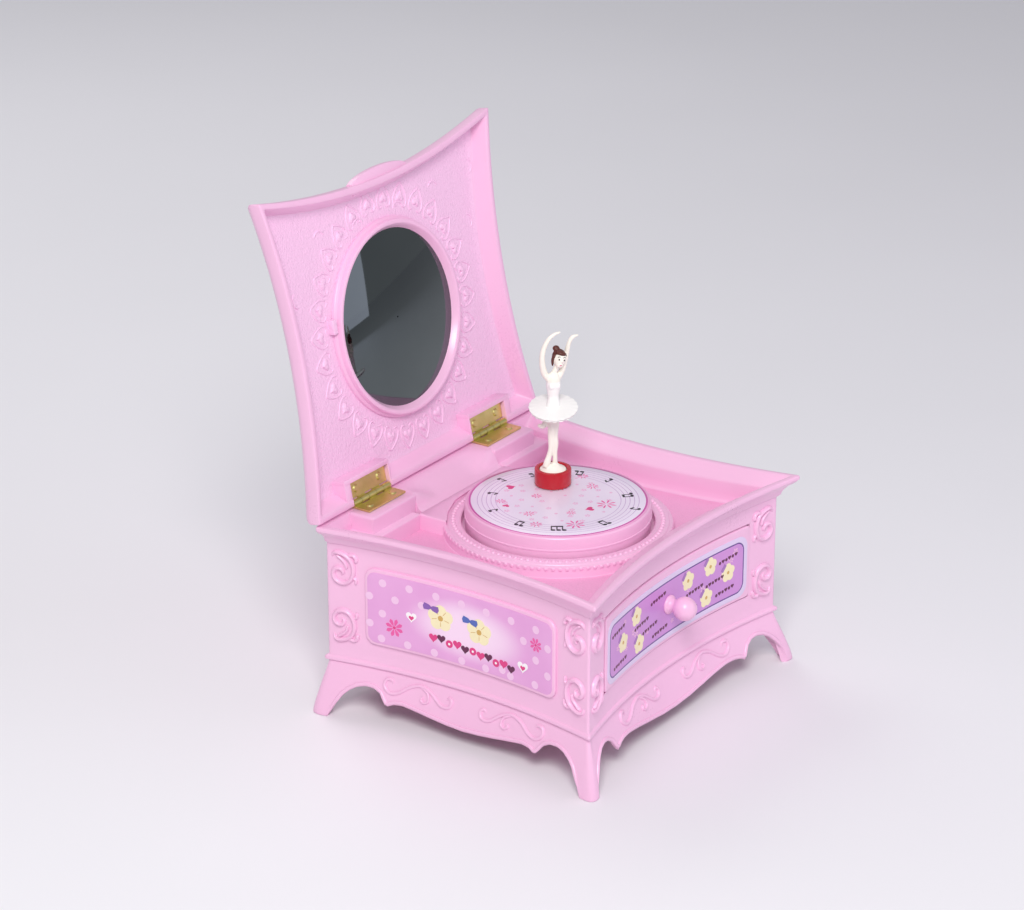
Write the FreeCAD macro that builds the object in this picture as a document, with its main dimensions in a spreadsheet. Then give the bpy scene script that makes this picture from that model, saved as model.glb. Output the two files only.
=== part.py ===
import FreeCAD, Part
import math
import os
import re
import Sketcher

# Wind-up music box with a hinged mirror lid, one drawer and a magnet dancer.
# Millimetres. X runs left to right, -Y is the drawer side, +Y the hinge side, Z = 0 the floor.

doc = FreeCAD.newDocument("MusicBox")
sheet = doc.addObject("Spreadsheet::Sheet", "Dims")

driving = {
    # case outline: sides and front bow inwards, the back is straight
    "rimHalfX": 80, "rimFront": 68.5, "rimBack": 68.5, "rimTop": 86,
    "sideBow": 8, "frontBow": 9.5, "rimOverhang": 6.9, "wall": 2.2,
    "baseTop": 23.6, "caseBottom": 23.6, "caseTop": 77, "beadHeight": 2.4, "beadProud": 1.4,
    "footSplay": 8.2, "archTop": 15, "cuspHeight": 9.2, "apronSag": 3.4,
    "cuspHalfX": 50, "cuspHalfY": 37, "legInnerX": 74.8, "legInnerY": 64.2, "legCentreY": 2,
    # tray with its stage ring and back deck
    "trayFloor": 72, "trayInset": 11, "lipInset": 3.4, "deckFront": 50, "deckHalfX": 60, "shelfTop": 79, "padFront": 54, "bridgeHalfX": 31,
    "stageY": 2, "ringOuter": 48, "ringInner": 40.6, "ringTop": 77.6, "ledgeInner": 33,
    "capRadius": 39, "capBottom": 73.9, "capTop": 85.8, "stickerThick": 0.25, "scoopRadius": 30,
    # label panels and drawer
    "panelHalf": 47.2, "panelCentre": 3.6, "panelBottom": 34.5, "panelTop": 69.2, "panelProud": 1.5,
    "frontHalf": 56, "frontBottom": 36, "frontTop": 69, "frontGap": 0.5, "frontThick": 2.4,
    "frontProud": 0.8, "boxHalf": 50, "boxBack": -14, "boxBottom": 38, "boxTop": 66, "boxWall": 1.8,
    "knobRadius": 5.4, "knobHeight": 52.5, "knobReach": 14,
    # lid, in the closed position
    "lidHalfX": 80.5, "lidFront": 67.8, "lidBack": 68.2, "lidRim": 86.4, "lidWallTop": 91,
    "lidTop": 95.6, "lidCrownInset": 6, "lidLipWidth": 3, "lidTaper": 3.4, "lidRecess": 6.5,
    "tabHalf": 19, "tabReach": 4.2, "tabLow": 88, "tabHigh": 91, "lidOpen": 101.3,
    "bossInner": 29.2, "bossOuter": 60, "bossDepth": 12,
    "mirrorY": 3, "mirrorRadius": 39.4, "mirrorThick": 2, "mirrorSight": 37.6,
    "frameOuter": 42.6, "frameDrop": 4,
    # butt hinges
    "hingeX": 43, "axisY": 67.5, "axisZ": 87.8, "knuckle": 1.5, "pinRadius": 0.8, "pinGap": 0.05,
    "hingeLength": 25.4, "leafThick": 0.8, "leafReach": 8.8, "leafScrewX": 8,
    # dancer on her ring magnet
    "dancerX": 12.6, "dancerY": 13.1, "magnetRadius": 7.8, "magnetHole": 5.9, "magnetHeight": 7.2,
    "standGap": 0.3, "plugHeight": 8.4, "tutuHeight": 35, "tutuRadius": 10.4, "hipHeight": 33,
    "headHeight": 57, "handHeight": 68, "headRadius": 3.5,
    # middle of the open box, lid included, measured along Y
    "openMiddle": 15.342,
    # wind-up movement
    "footScrewX": 62, "plateTop": 26, "bedTop": 29, "keyX": 28.5, "keyY": 30, "wheelRadius": 13, "springRadius": 11, "springHeight": 10.4,
    "cylinderY": 30, "cylinderZ": 50.3, "cylinderRadius": 6.5, "cylinderHalf": 13.5,
    "pinTip": 7, "gearRadius": 7.8, "driveRadius": 8.4, "idlerX": -12, "idlerY": 22,
    "idlerRadius": 9.3, "rotorGear": 13.4, "takeOffZ": 59.4, "magnetOrbit": 16.8, "wormX": -26, "bracketX": -36,
    "wormY": 44, "keyDrop": 17, "keySpan": 21,
}
for row, (alias, number) in enumerate(driving.items(), start=1):
    sheet.set(f"A{row}", alias)
    sheet.set(f"B{row}", str(number))
    sheet.setAlias(f"B{row}", alias)
doc.recompute()

nodes = []
movementScrews = (("-28", "11"), ("40", "11"), ("6", "54"))


def dims(expression):
    # a size written in sheet names, as FreeCAD's expression engine reads it
    return re.sub(r"[A-Za-z]\w*", lambda m: "Dims." + m.group() if m.group() in driving else m.group(),
                  str(expression))


def value(expression):
    return float(sheet.evalExpression(dims(expression)))


def bind(thing, **sizes):
    for name, expression in sizes.items():
        thing.setExpression(name.replace("_", "."), dims(expression))


def place(thing, x=0, y=0, z=0):
    bind(thing, Placement_Base_x=x, Placement_Base_y=y, Placement_Base_z=z)
    return thing


def keep(thing, label):
    thing.Label = label
    nodes.append(thing)
    return thing


# ---- Part primitives and booleans ----

def block(x, y, z):
    # x, y, z: pairs of low and high expressions
    box = doc.addObject("Part::Box", "Block")
    bind(box, Length=f"({x[1]}) - ({x[0]})", Width=f"({y[1]}) - ({y[0]})", Height=f"({z[1]}) - ({z[0]})")
    return place(box, x[0], y[0], z[0])


def rod(radius, length, at, axis="z", top=None):
    # a cylinder, or a cone where top gives its second radius, that starts at a point
    piece = doc.addObject("Part::Cylinder" if top is None else "Part::Cone", "Rod")
    if top is None:
        bind(piece, Radius=radius, Height=length)
    else:
        bind(piece, Radius1=radius, Radius2=top, Height=length)
    turn = {"z": (FreeCAD.Vector(0, 0, 1), 0), "x": (FreeCAD.Vector(0, 1, 0), 90),
            "y": (FreeCAD.Vector(1, 0, 0), -90)}[axis]
    piece.Placement = FreeCAD.Placement(FreeCAD.Vector(), FreeCAD.Rotation(*turn))
    return place(piece, *at)


def ball(radius, at):
    piece = doc.addObject("Part::Sphere", "Ball")
    bind(piece, Radius=radius)
    return place(piece, *at)


def fuse(*pieces):
    joined = doc.addObject("Part::MultiFuse", "Fusion")
    joined.Shapes = list(pieces)
    return joined


def group(*pieces):
    bundle = doc.addObject("Part::Compound", "Group")
    bundle.Links = list(pieces)
    return bundle


def cut(base, *tools):
    trimmed = doc.addObject("Part::Cut", "Cut")
    trimmed.Base = base
    trimmed.Tool = tools[0] if len(tools) == 1 else fuse(*tools)
    return trimmed


def tube(outer, inner, length, at, axis="z"):
    return cut(rod(outer, length, at, axis), rod(inner, length, at, axis))


def solid(shape, name="Shape"):
    piece = doc.addObject("Part::Feature", name)
    piece.Shape = shape
    return piece


# ---- PartDesign bodies with sketches ----

def newBody(name):
    return doc.addObject("PartDesign::Body", name)


def newSketch(body, plane, offset="0"):
    sketch = body.newObject("Sketcher::SketchObject", "Sketch")
    origin = next(f for f in body.Origin.OriginFeatures if f.Role == plane + "_Plane")
    sketch.AttachmentSupport = [(origin, "")]
    sketch.MapMode = "FlatFace"
    bind(sketch, AttachmentOffset_Base_z=offset)
    return sketch


def arcThrough(start, end, bow):
    # arc from start to end whose middle stands bow to the left of the chord
    chord = end - start
    side = FreeCAD.Vector(-chord.y, chord.x, 0).normalize()
    radius = chord.Length ** 2 / (8 * abs(bow)) + abs(bow) / 2
    centre = (start + end) / 2 + side * (bow - math.copysign(radius, bow))
    first = math.atan2(start.y - centre.y, start.x - centre.x)
    last = math.atan2(end.y - centre.y, end.x - centre.x)
    forward = bow < 0
    low, high = (first, last) if forward else (last, first)
    if high < low:
        high += 2 * math.pi
    circle = Part.Circle(centre, FreeCAD.Vector(0, 0, 1), radius)
    return Part.ArcOfCircle(circle, low, high), forward


def outline(body, plane, offset, corners):
    # closed sketch: each corner is x, y and the bow of the side that leaves it, None where straight
    sketch = newSketch(body, plane, offset)
    points = [FreeCAD.Vector(value(x), value(y), 0) for x, y, bow in corners]
    ends = []
    for number, (x, y, bow) in enumerate(corners):
        start, end = points[number], points[(number + 1) % len(points)]
        if bow is None:
            sketch.addGeometry(Part.LineSegment(start, end))
            ends.append((1, 2))
        else:
            arc, forward = arcThrough(start, end, value(bow))
            sketch.addGeometry(arc)
            ends.append((1, 2) if forward else (2, 1))
    for number, (x, y, bow) in enumerate(corners):
        following = (number + 1) % len(corners)
        sketch.addConstraint(Sketcher.Constraint("Coincident", number, ends[number][1],
                                                 following, ends[following][0]))
        for kind, expression, letter in (("DistanceX", x, "x"), ("DistanceY", y, "y")):
            index = sketch.addConstraint(Sketcher.Constraint(kind, number, ends[number][0],
                                                             value(expression)))
            sketch.renameConstraint(index, f"{letter}{number}")
            sketch.setExpression(f"Constraints.{letter}{number}", dims(expression))
        if bow is not None:
            nextX, nextY = corners[following][:2]
            chord = f"((({nextX}) - ({x}))^2 + (({nextY}) - ({y}))^2)"
            radius = f"{chord} / (8 * abs({bow})) + abs({bow}) / 2"
            index = sketch.addConstraint(Sketcher.Constraint("Radius", number, value(radius)))
            sketch.renameConstraint(index, f"arc{number}")
            sketch.setExpression(f"Constraints.arc{number}", dims(radius))
    return sketch


def pad(body, sketch, length, backwards=False, both=False):
    feature = body.newObject("PartDesign::Pad", "Pad")
    feature.Profile = sketch
    bind(feature, Length=length)
    feature.Reversed = backwards
    feature.Midplane = both
    return feature


def pocket(body, sketch, length, both=False, backwards=False):
    feature = body.newObject("PartDesign::Pocket", "Pocket")
    feature.Profile = sketch
    bind(feature, Length=length)
    feature.Midplane = both
    feature.Reversed = backwards
    return feature


def loft(body, sections, remove=False):
    feature = body.newObject("PartDesign::" + ("SubtractiveLoft" if remove else "AdditiveLoft"), "Loft")
    feature.Profile = sections[0]
    feature.Sections = sections[1:]
    feature.Ruled = False
    return feature


def turned(label, corners, at, axis="z"):
    # a body turned about its own axis: corners are radius, height and bow
    body = newBody(label)
    sketch = outline(body, "XZ", "0", corners)
    spin = body.newObject("PartDesign::Revolution", "Revolution")
    spin.Profile = sketch
    spin.ReferenceAxis = (sketch, ["V_Axis"])
    spin.Angle = 360
    turn = {"z": FreeCAD.Rotation(), "-y": FreeCAD.Rotation(FreeCAD.Vector(1, 0, 0), 90),
            "x": FreeCAD.Rotation(FreeCAD.Vector(0, 1, 0), 90)}[axis]
    body.Placement = FreeCAD.Placement(FreeCAD.Vector(), turn)
    return place(body, *at)


def plan(inset, frontInset=None, backInset="0", half="rimHalfX", front="rimFront", back="rimBack"):
    # the bowed four-sided plan of the case, drawn inset from the rim
    side = f"{half} - ({inset})"
    near = f"-({front} - ({frontInset or inset}))"
    far = f"{back} - ({backInset})"
    return [(side, near, "sideBow"), (side, far, None), (f"-({side})", far, "sideBow"),
            (f"-({side})", near, "frontBow")]


def strip(body, offset, inner, outer, low, high):
    # plan of a bowed plate on the left wall, between two insets from the rim
    span = "(rimFront + rimBack - rimOverhang)"
    middle = "((rimBack - rimFront + rimOverhang) / 2)"

    def wallX(inset, y):
        return f"-(rimHalfX - ({inset}) - sideBow * (1 - (2 * (({y}) - {middle}) / {span})^2))"

    bow = f"sideBow * ((({high}) - ({low})) / {span})^2"
    return outline(body, "XY", offset, [
        (wallX(outer, low), low, None), (wallX(inner, low), low, f"-{bow}"),
        (wallX(inner, high), high, None), (wallX(outer, high), high, bow)])


def frontStrip(body, offset, inner, outer, half):
    # plan of a bowed plate on the drawer side, between two insets from the rim
    span = "(2 * (rimHalfX - rimOverhang))"

    def wallY(inset):
        return f"-(rimFront - ({inset}) - frontBow * (1 - (2 * ({half}) / {span})^2))"

    bow = f"frontBow * (2 * ({half}) / {span})^2"
    return outline(body, "XY", offset, [
        (f"-({half})", wallY(outer), bow), (half, wallY(outer), None),
        (half, wallY(inner), f"-{bow}"), (f"-({half})", wallY(inner), None)])


def mirrorX(source):
    twin = doc.addObject("Part::Mirroring", "Twin")
    twin.Source = source
    twin.Normal = FreeCAD.Vector(1, 0, 0)
    return twin


def swing(piece):
    # turns a lid piece from closed to the open rest position, about the hinge pins
    piece.Placement = FreeCAD.Placement(FreeCAD.Vector(), FreeCAD.Rotation(FreeCAD.Vector(1, 0, 0), -1))
    piece.setExpression("Placement.Rotation.Angle", dims("-lidOpen * 1 deg"))
    turnCos, turnSin = "cos(lidOpen * 1 deg)", "sin(lidOpen * 1 deg)"
    return place(piece, 0, f"axisY - axisY * {turnCos} - axisZ * {turnSin}",
                 f"axisZ + axisY * {turnSin} - axisZ * {turnCos}")


# ---- case ----

def baseFrame():
    body = newBody("BaseFrame")
    levels = (("0", "footSplay"), ("5", "footSplay * 0.86"), ("10", "footSplay * 0.63"),
              ("15", "footSplay * 0.36"), ("20", "footSplay * 0.12"), ("baseTop", "0"))

    def section(height, splay, inward):
        edge = f"rimOverhang + {inward} - {splay}"
        back = f"{inward} - {splay} * 0.65"
        return outline(body, "XY", height, plan(edge, edge, back))

    loft(body, [section(height, splay, "0") for height, splay in levels])
    loft(body, [section(height, splay, "wall") for height, splay in levels], remove=True)
    for plane, foot, cusp, centre in (("XZ", "legInnerX", "cuspHalfX", "0"),
                                      ("YZ", "legInnerY", "cuspHalfY", "legCentreY")):
        # from the left foot round the arches, cusps and sagging middle to the right foot
        half = [(f"{foot}", "-1", "-0.3"), (f"{foot} - 3.6", "archTop * 0.55", "-2.6"),
                (f"{cusp} + ({foot} - {cusp}) * 0.42", "archTop", "-1.6"),
                (f"{cusp}", "cuspHeight", "-0.5"), (f"{cusp} * 0.84", "cuspHeight + 1.2", "apronSag")]
        right = [(f"{centre} + {x}", z, bow) for x, z, bow in half]
        left = [(f"{centre} - ({half[k][0]})", half[k][1], half[k - 1][2] if k else None)
                for k in range(len(half) - 1, -1, -1)]
        gap = outline(body, plane, "0", right + left)
        pocket(body, gap, "2 * (rimHalfX + footSplay + 10)", both=True)
    keep(body, "base_frame")


def caseBody():
    body = newBody("CaseBody")
    pad(body, outline(body, "XY", "caseBottom", plan("rimOverhang")), "caseTop - caseBottom")
    bead = plan("rimOverhang - beadProud", backInset="-beadProud")
    pad(body, outline(body, "XY", "caseBottom", bead), "beadHeight")
    pocket(body, outline(body, "XY", "caseTop", plan("rimOverhang + wall", backInset="wall")),
           "caseTop - caseBottom + 1")
    opening = outline(body, "XZ", "0", [
        ("-(frontHalf + frontGap)", "frontBottom - frontGap", None),
        ("frontHalf + frontGap", "frontBottom - frontGap", None),
        ("frontHalf + frontGap", "frontTop + frontGap", None),
        ("-(frontHalf + frontGap)", "frontTop + frontGap", None)])
    pocket(body, opening, "rimFront + 10", backwards=True)
    posts = [rod("4", "trayFloor - wall - plateTop + 0.9", (f"{sx} * footScrewX", y, "plateTop + 0.1"))
             for sx in (1, -1) for y in ("-49", "59")]
    keep(body, "case_body")
    return posts


def bottomPlate():
    body = newBody("BottomPlate")
    inset = "rimOverhang + wall + 0.3"
    pad(body, outline(body, "XY", "caseBottom + 0.2", plan(inset, backInset="wall + 0.3")), "2.2")
    holes = [rod("1.3", "10", (f"{sx} * footScrewX", y, "caseBottom - 3"))
             for sx in (1, -1) for y in ("-49", "59")]
    holes += [rod("1.25", "10", (x, y, "caseBottom - 3")) for x, y in movementScrews]
    keep(cut(body, rod("5", "10", ("keyX", "keyY", "caseBottom - 3")), *holes), "bottom_plate")


def tray(posts):
    body = newBody("Tray")
    cornice = [("caseTop", "rimOverhang - 0.4"), ("caseTop + 2", "rimOverhang - 1.4"),
               ("caseTop + 4.6", "rimOverhang * 0.5"), ("caseTop + 6.6", "0.5"), ("rimTop - 1.6", "0")]
    loft(body, [outline(body, "XY", height, plan(inset)) for height, inset in cornice])
    pad(body, outline(body, "XY", "rimTop - 1.6", plan("0")), "1")
    loft(body, [outline(body, "XY", "rimTop - 0.6", plan("0")), outline(body, "XY", "rimTop", plan("0.8"))])
    tub = "rimOverhang + wall + 0.3"
    pad(body, outline(body, "XY", "trayFloor - wall", plan(tub, backInset="wall + 0.3")),
        "caseTop - trayFloor + wall + 1")
    loft(body, [outline(body, "XY", "rimTop", plan("lipInset", backInset="wall + 1.5")),
                outline(body, "XY", "rimTop - 4", plan("trayInset", backInset="wall + 1.5"))], remove=True)
    pocket(body, outline(body, "XY", "rimTop - 4", plan("trayInset", backInset="wall + 1.5")),
           "rimTop - 4 - trayFloor")
    filled = newBody("Deck")
    pad(filled, outline(filled, "XY", "trayFloor - 1", plan("lipInset - 1", backInset="1")),
        "rimTop - trayFloor + 1")
    level = doc.addObject("Part::Common", "DeckEnd")
    tubFill = newBody("TubFill")
    pad(tubFill, outline(tubFill, "XY", "trayFloor - 1", plan(tub, backInset="wall + 0.3")),
        "rimTop - trayFloor + 1")
    top = cut(filled, cut(block(("-99", "99"), ("-99", "99"), ("trayFloor - 2", "rimTop - 5")), tubFill))
    level.Base = top
    # a low shelf across the back, with the hinge pads standing on it
    level.Tool = fuse(block(("-99", "99"), ("deckFront", "rimBack"), ("trayFloor - 1", "shelfTop")),
                      block(("-deckHalfX", "deckHalfX"), ("padFront", "rimBack"), ("trayFloor", "rimTop")))
    # the rotor passes through the middle of the stage
    at = ("0", "stageY")
    ring = tube("ringOuter", "ringInner", "ringTop - trayFloor + 1", (*at, "trayFloor - 1"))
    ledge = tube("ringInner + 0.5", "ledgeInner", "capBottom - trayFloor", (*at, "trayFloor - 0.1"))
    bridge = block(("-bridgeHalfX", "bridgeHalfX"), ("stageY + 33", "deckFront + 1"), ("trayFloor - 1", "ringTop"))
    well = rod("ledgeInner", "30", (*at, "trayFloor - 20"))
    clear = rod("ringInner", "30", (*at, "capBottom - 0.1"))
    scoop = rod("scoopRadius", "46", ("-23", "deckFront - 1", "rimTop + scoopRadius - 8"), "x")
    under = block(("-deckHalfX", "deckHalfX"), ("deckFront + wall", "rimBack - 3 * wall"),
                  ("trayFloor - 3", "ringTop - wall"))
    hull = cut(fuse(cut(fuse(body, level), scoop), ring, bridge, *posts), under)
    pilots = [rod("1.2", "14", (f"{sx} * footScrewX", y, "plateTop")) for sx in (1, -1) for y in ("-49", "59")]
    pilots += [rod("0.9", "4", (f"{sx} * hingeX + {dx}", "axisY - leafReach * 0.62", "rimTop - 2.8"))
               for sx in (1, -1) for dx in ("leafScrewX", "-leafScrewX")]
    keep(cut(fuse(cut(hull, clear, well), ledge), *pilots), "tray")


def stage():
    at = ("0", "stageY")
    cap = cut(rod("capRadius", "capTop - capBottom", (*at, "capBottom")),
              rod("capRadius - 1.8", "capTop - capBottom - 1.6", (*at, "capBottom")))
    keep(cap, "stage_cap")
    keep(rod("capRadius - 0.7", "stickerThick", (*at, "capTop")), "stage_print")


def labels():
    for name, inner, outer, low, high, bottom, top in (
            ("label_panel", "rimOverhang", "rimOverhang - panelProud", "panelCentre - panelHalf",
             "panelCentre + panelHalf", "panelBottom", "panelTop"),
            ("label_print", "rimOverhang - panelProud", "rimOverhang - panelProud - stickerThick",
             "panelCentre - panelHalf + 1.4", "panelCentre + panelHalf - 1.4", "panelBottom + 1.4",
             "panelTop - 1.4")):
        body = newBody("Panel")
        pad(body, strip(body, bottom, inner, outer, low, high), f"({top}) - ({bottom})")
        keep(body, "left_" + name)
        keep(mirrorX(body), "right_" + name)


def bottomScrews():
    screws = [fuse(rod("1.1", "10", (f"{sx} * footScrewX", y, "caseBottom - 0.2")),
                   rod("2.6", "1.6", (f"{sx} * footScrewX", y, "caseBottom - 1.4")))
              for sx in (1, -1) for y in ("-49", "59")]
    keep(group(*screws), "bottom_screws")


# ---- drawer ----

def drawer():
    front = newBody("DrawerFront")
    pad(front, frontStrip(front, "frontBottom", "rimOverhang + frontThick - frontProud",
                          "rimOverhang - frontProud", "frontHalf"), "frontTop - frontBottom")
    hole = rod("1.3", "10", ("0", "-58", "knobHeight"), "y")
    keep(cut(front, hole), "drawer_front")
    printed = newBody("DrawerPrint")
    pad(printed, frontStrip(printed, "frontBottom + 3.6", "rimOverhang - frontProud",
                            "rimOverhang - frontProud - stickerThick", "frontHalf - 4"), "24")
    knobHole = rod("3.4", "30", ("0", "-70", "knobHeight"), "y")
    keep(cut(printed, knobHole), "drawer_print")
    face = "-(rimFront - rimOverhang - frontBow + frontProud)"
    inside = "-(rimFront - rimOverhang - frontBow - frontThick + frontProud)"
    outer = block(("-boxHalf", "boxHalf"), (inside, "boxBack"), ("boxBottom", "boxTop"))
    hollow = block(("-boxHalf + boxWall", "boxHalf - boxWall"), (f"{inside} + boxWall", "boxBack - boxWall"),
                   ("boxBottom + boxWall", "boxTop + 1"))
    bore = rod("1.3", "12", ("0", f"{inside} - 1", "knobHeight"), "y")
    keep(cut(outer, hollow, bore), "drawer_box")
    handle = fuse(rod("3.2", "1.4", ("0", f"{face} - 1.43", "knobHeight"), "y"),
                  rod("2.4", "knobReach - knobRadius - 0.2", ("0", f"{face} - knobReach + knobRadius", "knobHeight"),
                      "y"),
                  ball("knobRadius", ("0", f"{face} - knobReach + knobRadius", "knobHeight")))
    pilot = rod("1.15", "8", ("0", f"{face} - 6.5", "knobHeight"), "y")
    keep(cut(handle, pilot), "drawer_knob")
    screw = fuse(rod("1.1", "10", ("0", f"{inside} + boxWall - 9.9", "knobHeight"), "y"),
                 rod("2.6", "1.4", ("0", f"{inside} + boxWall", "knobHeight"), "y"))
    keep(screw, "knob_screw")


def drawerGuide():
    floor = block(("-boxHalf - 4.2", "boxHalf + 4.2"), ("-45", "boxBack + 5"),
                  ("boxBottom - 2", "boxBottom - 0.3"))
    cheeks = [block((f"{sx} * (boxHalf + 1.7) - 0.8", f"{sx} * (boxHalf + 1.7) + 0.8"),
                    ("-43", "boxBack + 5"), ("boxBottom - 1", "boxBottom + 8")) for sx in (1, -1)]
    legs = [block((f"{sx} * (boxHalf + 1.7) - 0.8", f"{sx} * (boxHalf + 1.7) + 0.8"),
                  (y, f"{y} + 6"), ("plateTop", "boxBottom - 1")) for sx in (1, -1)
            for y in ("-43", "boxBack - 2")]
    keep(fuse(floor, *cheeks, *legs), "drawer_guide")


# ---- lid ----

def lid():
    body = newBody("LidShell")
    full = plan("0", half="lidHalfX", front="lidFront", back="lidBack")
    pad(body, outline(body, "XY", "lidRim", full), "lidWallTop - lidRim")
    crown = plan("lidCrownInset", backInset="lidCrownInset", half="lidHalfX", front="lidFront", back="lidBack")
    loft(body, [outline(body, "XY", "lidWallTop", full), outline(body, "XY", "lidTop", crown)])
    mouth = plan("lidLipWidth", backInset="lidLipWidth", half="lidHalfX", front="lidFront", back="lidBack")
    deep = "lidLipWidth + lidTaper"
    floor = plan(deep, backInset=deep, half="lidHalfX", front="lidFront", back="lidBack")
    loft(body, [outline(body, "XY", "lidRim", mouth),
                outline(body, "XY", "lidRim + lidRecess", floor)], remove=True)
    edge = "-(lidFront - frontBow)"
    tab = newBody("LidTab")
    pad(tab, outline(tab, "XY", "tabLow", [
        ("-tabHalf", f"{edge} - 0.6", "-tabReach"), ("tabHalf", f"{edge} - 0.6", None),
        ("tabHalf", f"{edge} + 2", None), ("-tabHalf", f"{edge} + 2", None)]), "tabHigh - tabLow")
    bosses = [block((f"{sx} * (bossInner + bossOuter) / 2 - (bossOuter - bossInner) / 2",
                     f"{sx} * (bossInner + bossOuter) / 2 + (bossOuter - bossInner) / 2"),
                    ("lidBack - bossDepth", "lidBack - 1"), ("lidRim", "lidRim + lidRecess + 0.2"))
              for sx in (1, -1)]
    recess = [block((f"{sx} * hingeX - hingeLength / 2 - 0.4", f"{sx} * hingeX + hingeLength / 2 + 0.4"),
                    ("axisY - leafReach - 0.4", "lidBack + 2"), ("lidRim - 1", "axisZ + 1.75"))
              for sx in (1, -1)]
    screws = [rod("0.9", "3", (f"{sx} * hingeX + {dx}", "axisY - leafReach * 0.62", "axisZ + 1.7"))
              for sx in (1, -1) for dx in ("leafScrewX", "-leafScrewX")]
    keep(swing(cut(fuse(body, tab, *bosses), *recess, *screws)), "lid_shell")
    at = ("0", "mirrorY")
    ceiling = "lidRim + lidRecess"
    frame = cut(rod("frameOuter", "frameDrop", (*at, f"{ceiling} - frameDrop")),
                rod("mirrorSight", "frameDrop", (*at, f"{ceiling} - frameDrop")),
                rod("mirrorRadius + 0.2", "mirrorThick + 0.2", (*at, f"{ceiling} - mirrorThick - 0.2")))
    keep(swing(frame), "mirror_frame")
    glass = rod("mirrorRadius", "mirrorThick", (*at, f"{ceiling} - mirrorThick - 0.1"))
    keep(swing(group(glass)), "mirror")


# ---- hinges ----

def hinges():
    knuckles = 5
    for side, sx in (("left", -1), ("right", 1)):
        start = f"{sx} * hingeX - hingeLength / 2"
        step = f"hingeLength / {knuckles}"
        for label, sign, first in (("case_leaf", -1, 0), ("lid_leaf", 1, 1)):
            barrels = [rod("knuckle", f"{step} - 0.2", (f"{start} + {k} * {step} + 0.1", "axisY", "axisZ"), "x")
                       for k in range(first, knuckles, 2)]
            plate = f"axisZ + {sign} * (knuckle - leafThick / 2 + 0.05) - leafThick / 2"
            tongues = [block((f"{start} + {k} * {step} + 0.1", f"{start} + ({k} + 1) * {step} - 0.1"),
                             ("axisY - knuckle - 0.6", "axisY - 0.4"), (plate, f"{plate} + leafThick"))
                       for k in range(first, knuckles, 2)]
            leaf = block((start, f"{start} + hingeLength"), ("axisY - leafReach", "axisY - knuckle - 0.4"),
                         (plate, f"{plate} + leafThick"))
            bore = rod("pinRadius + pinGap", "hingeLength + 2", (f"{start} - 1", "axisY", "axisZ"), "x")
            holes = [rod("1", "4", (f"{sx} * hingeX + {dx}", "axisY - leafReach * 0.62", f"{plate} - 1"))
                     for dx in ("leafScrewX", "-leafScrewX")]
            piece = cut(fuse(leaf, *barrels, *tongues), bore, *holes)
            keep(swing(piece) if label == "lid_leaf" else piece, f"{side}_{label}")
        heads = [rod("1.15", "0.5", (f"{x}", "axisY", "axisZ"), "x")
                 for x in (f"{start} - 0.4", f"{start} + hingeLength - 0.1")]
        keep(fuse(rod("pinRadius", "hingeLength + 0.4", (f"{start} - 0.2", "axisY", "axisZ"), "x"), *heads),
             f"{side}_hinge_pin")
    for label, sign in (("case_hinge_screws", -1), ("lid_hinge_screws", 1)):
        face = f"axisZ + {sign} * (knuckle - leafThick + 0.05)"
        screws = []
        for sx in (1, -1):
            for dx in ("leafScrewX", "-leafScrewX"):
                x, y = f"{sx} * hingeX + {dx}", "axisY - leafReach * 0.62"
                shank = rod("0.85", "3.4", (x, y, f"{face} - 3.4" if sign < 0 else face))
                low = face if sign < 0 else f"{face} - 0.5"
                head = rod("1.75" if sign < 0 else "1.2", "0.5", (x, y, low),
                           top="1.2" if sign < 0 else "1.75")
                screws.append(fuse(shank, head))
        bundle = group(*screws)
        keep(swing(bundle) if sign > 0 else bundle, label)


# ---- dancer ----

def dancer():
    at = ("dancerX", "dancerY")
    stand = "capTop + stickerThick + standGap"
    keep(tube("magnetRadius", "magnetHole", "magnetHeight", (*at, stand)), "dancer_magnet")
    plug = fuse(rod("magnetHole - 0.1", "magnetHeight - 1", (*at, f"{stand} + 0.6")),
                rod("magnetHole - 0.6", "plugHeight - magnetHeight + 0.6", (*at, f"{stand} + magnetHeight - 0.5"),
                    top="3"))
    foot = f"{stand} + plugHeight - 0.2"
    hip = f"{stand} + hipHeight"
    neck = f"{stand} + headHeight - headRadius - 1.5"
    legs = [rod("1.5", f"{hip} - ({foot}) + 1", (f"dancerX + {dx}", "dancerY", foot), top=top)
            for dx, top in (("0.6", "2"), ("-1.6", "1.7"))]
    torso = [rod("3.2", "7", (*at, f"{hip} - 1"), top="2.1"),
             rod("2.1", f"{neck} - ({hip}) - 6", (*at, f"{hip} + 5.8"), top="3.3"),
             rod("1.2", "5", (*at, f"{neck} - 2"))]
    head = ball("headRadius", (*at, f"{stand} + headHeight"))
    arms = []
    for sign in (-1, 1):
        arm = rod("1.1", f"{stand} + handHeight - ({neck}) + 1.2", (f"dancerX + {sign} * 3", "dancerY",
                  f"{neck} - 0.6"), top="0.9")
        arms.append(arm)
    keep(fuse(plug, *legs, *torso, head, *arms), "dancer_figure")
    skirt = cut(rod("tutuRadius", "3.4", (*at, f"{stand} + tutuHeight - 2.4"), top="4"),
                rod("4.1", "5", (*at, f"{stand} + tutuHeight - 3")))
    keep(skirt, "dancer_tutu")


# ---- wind-up movement ----

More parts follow.
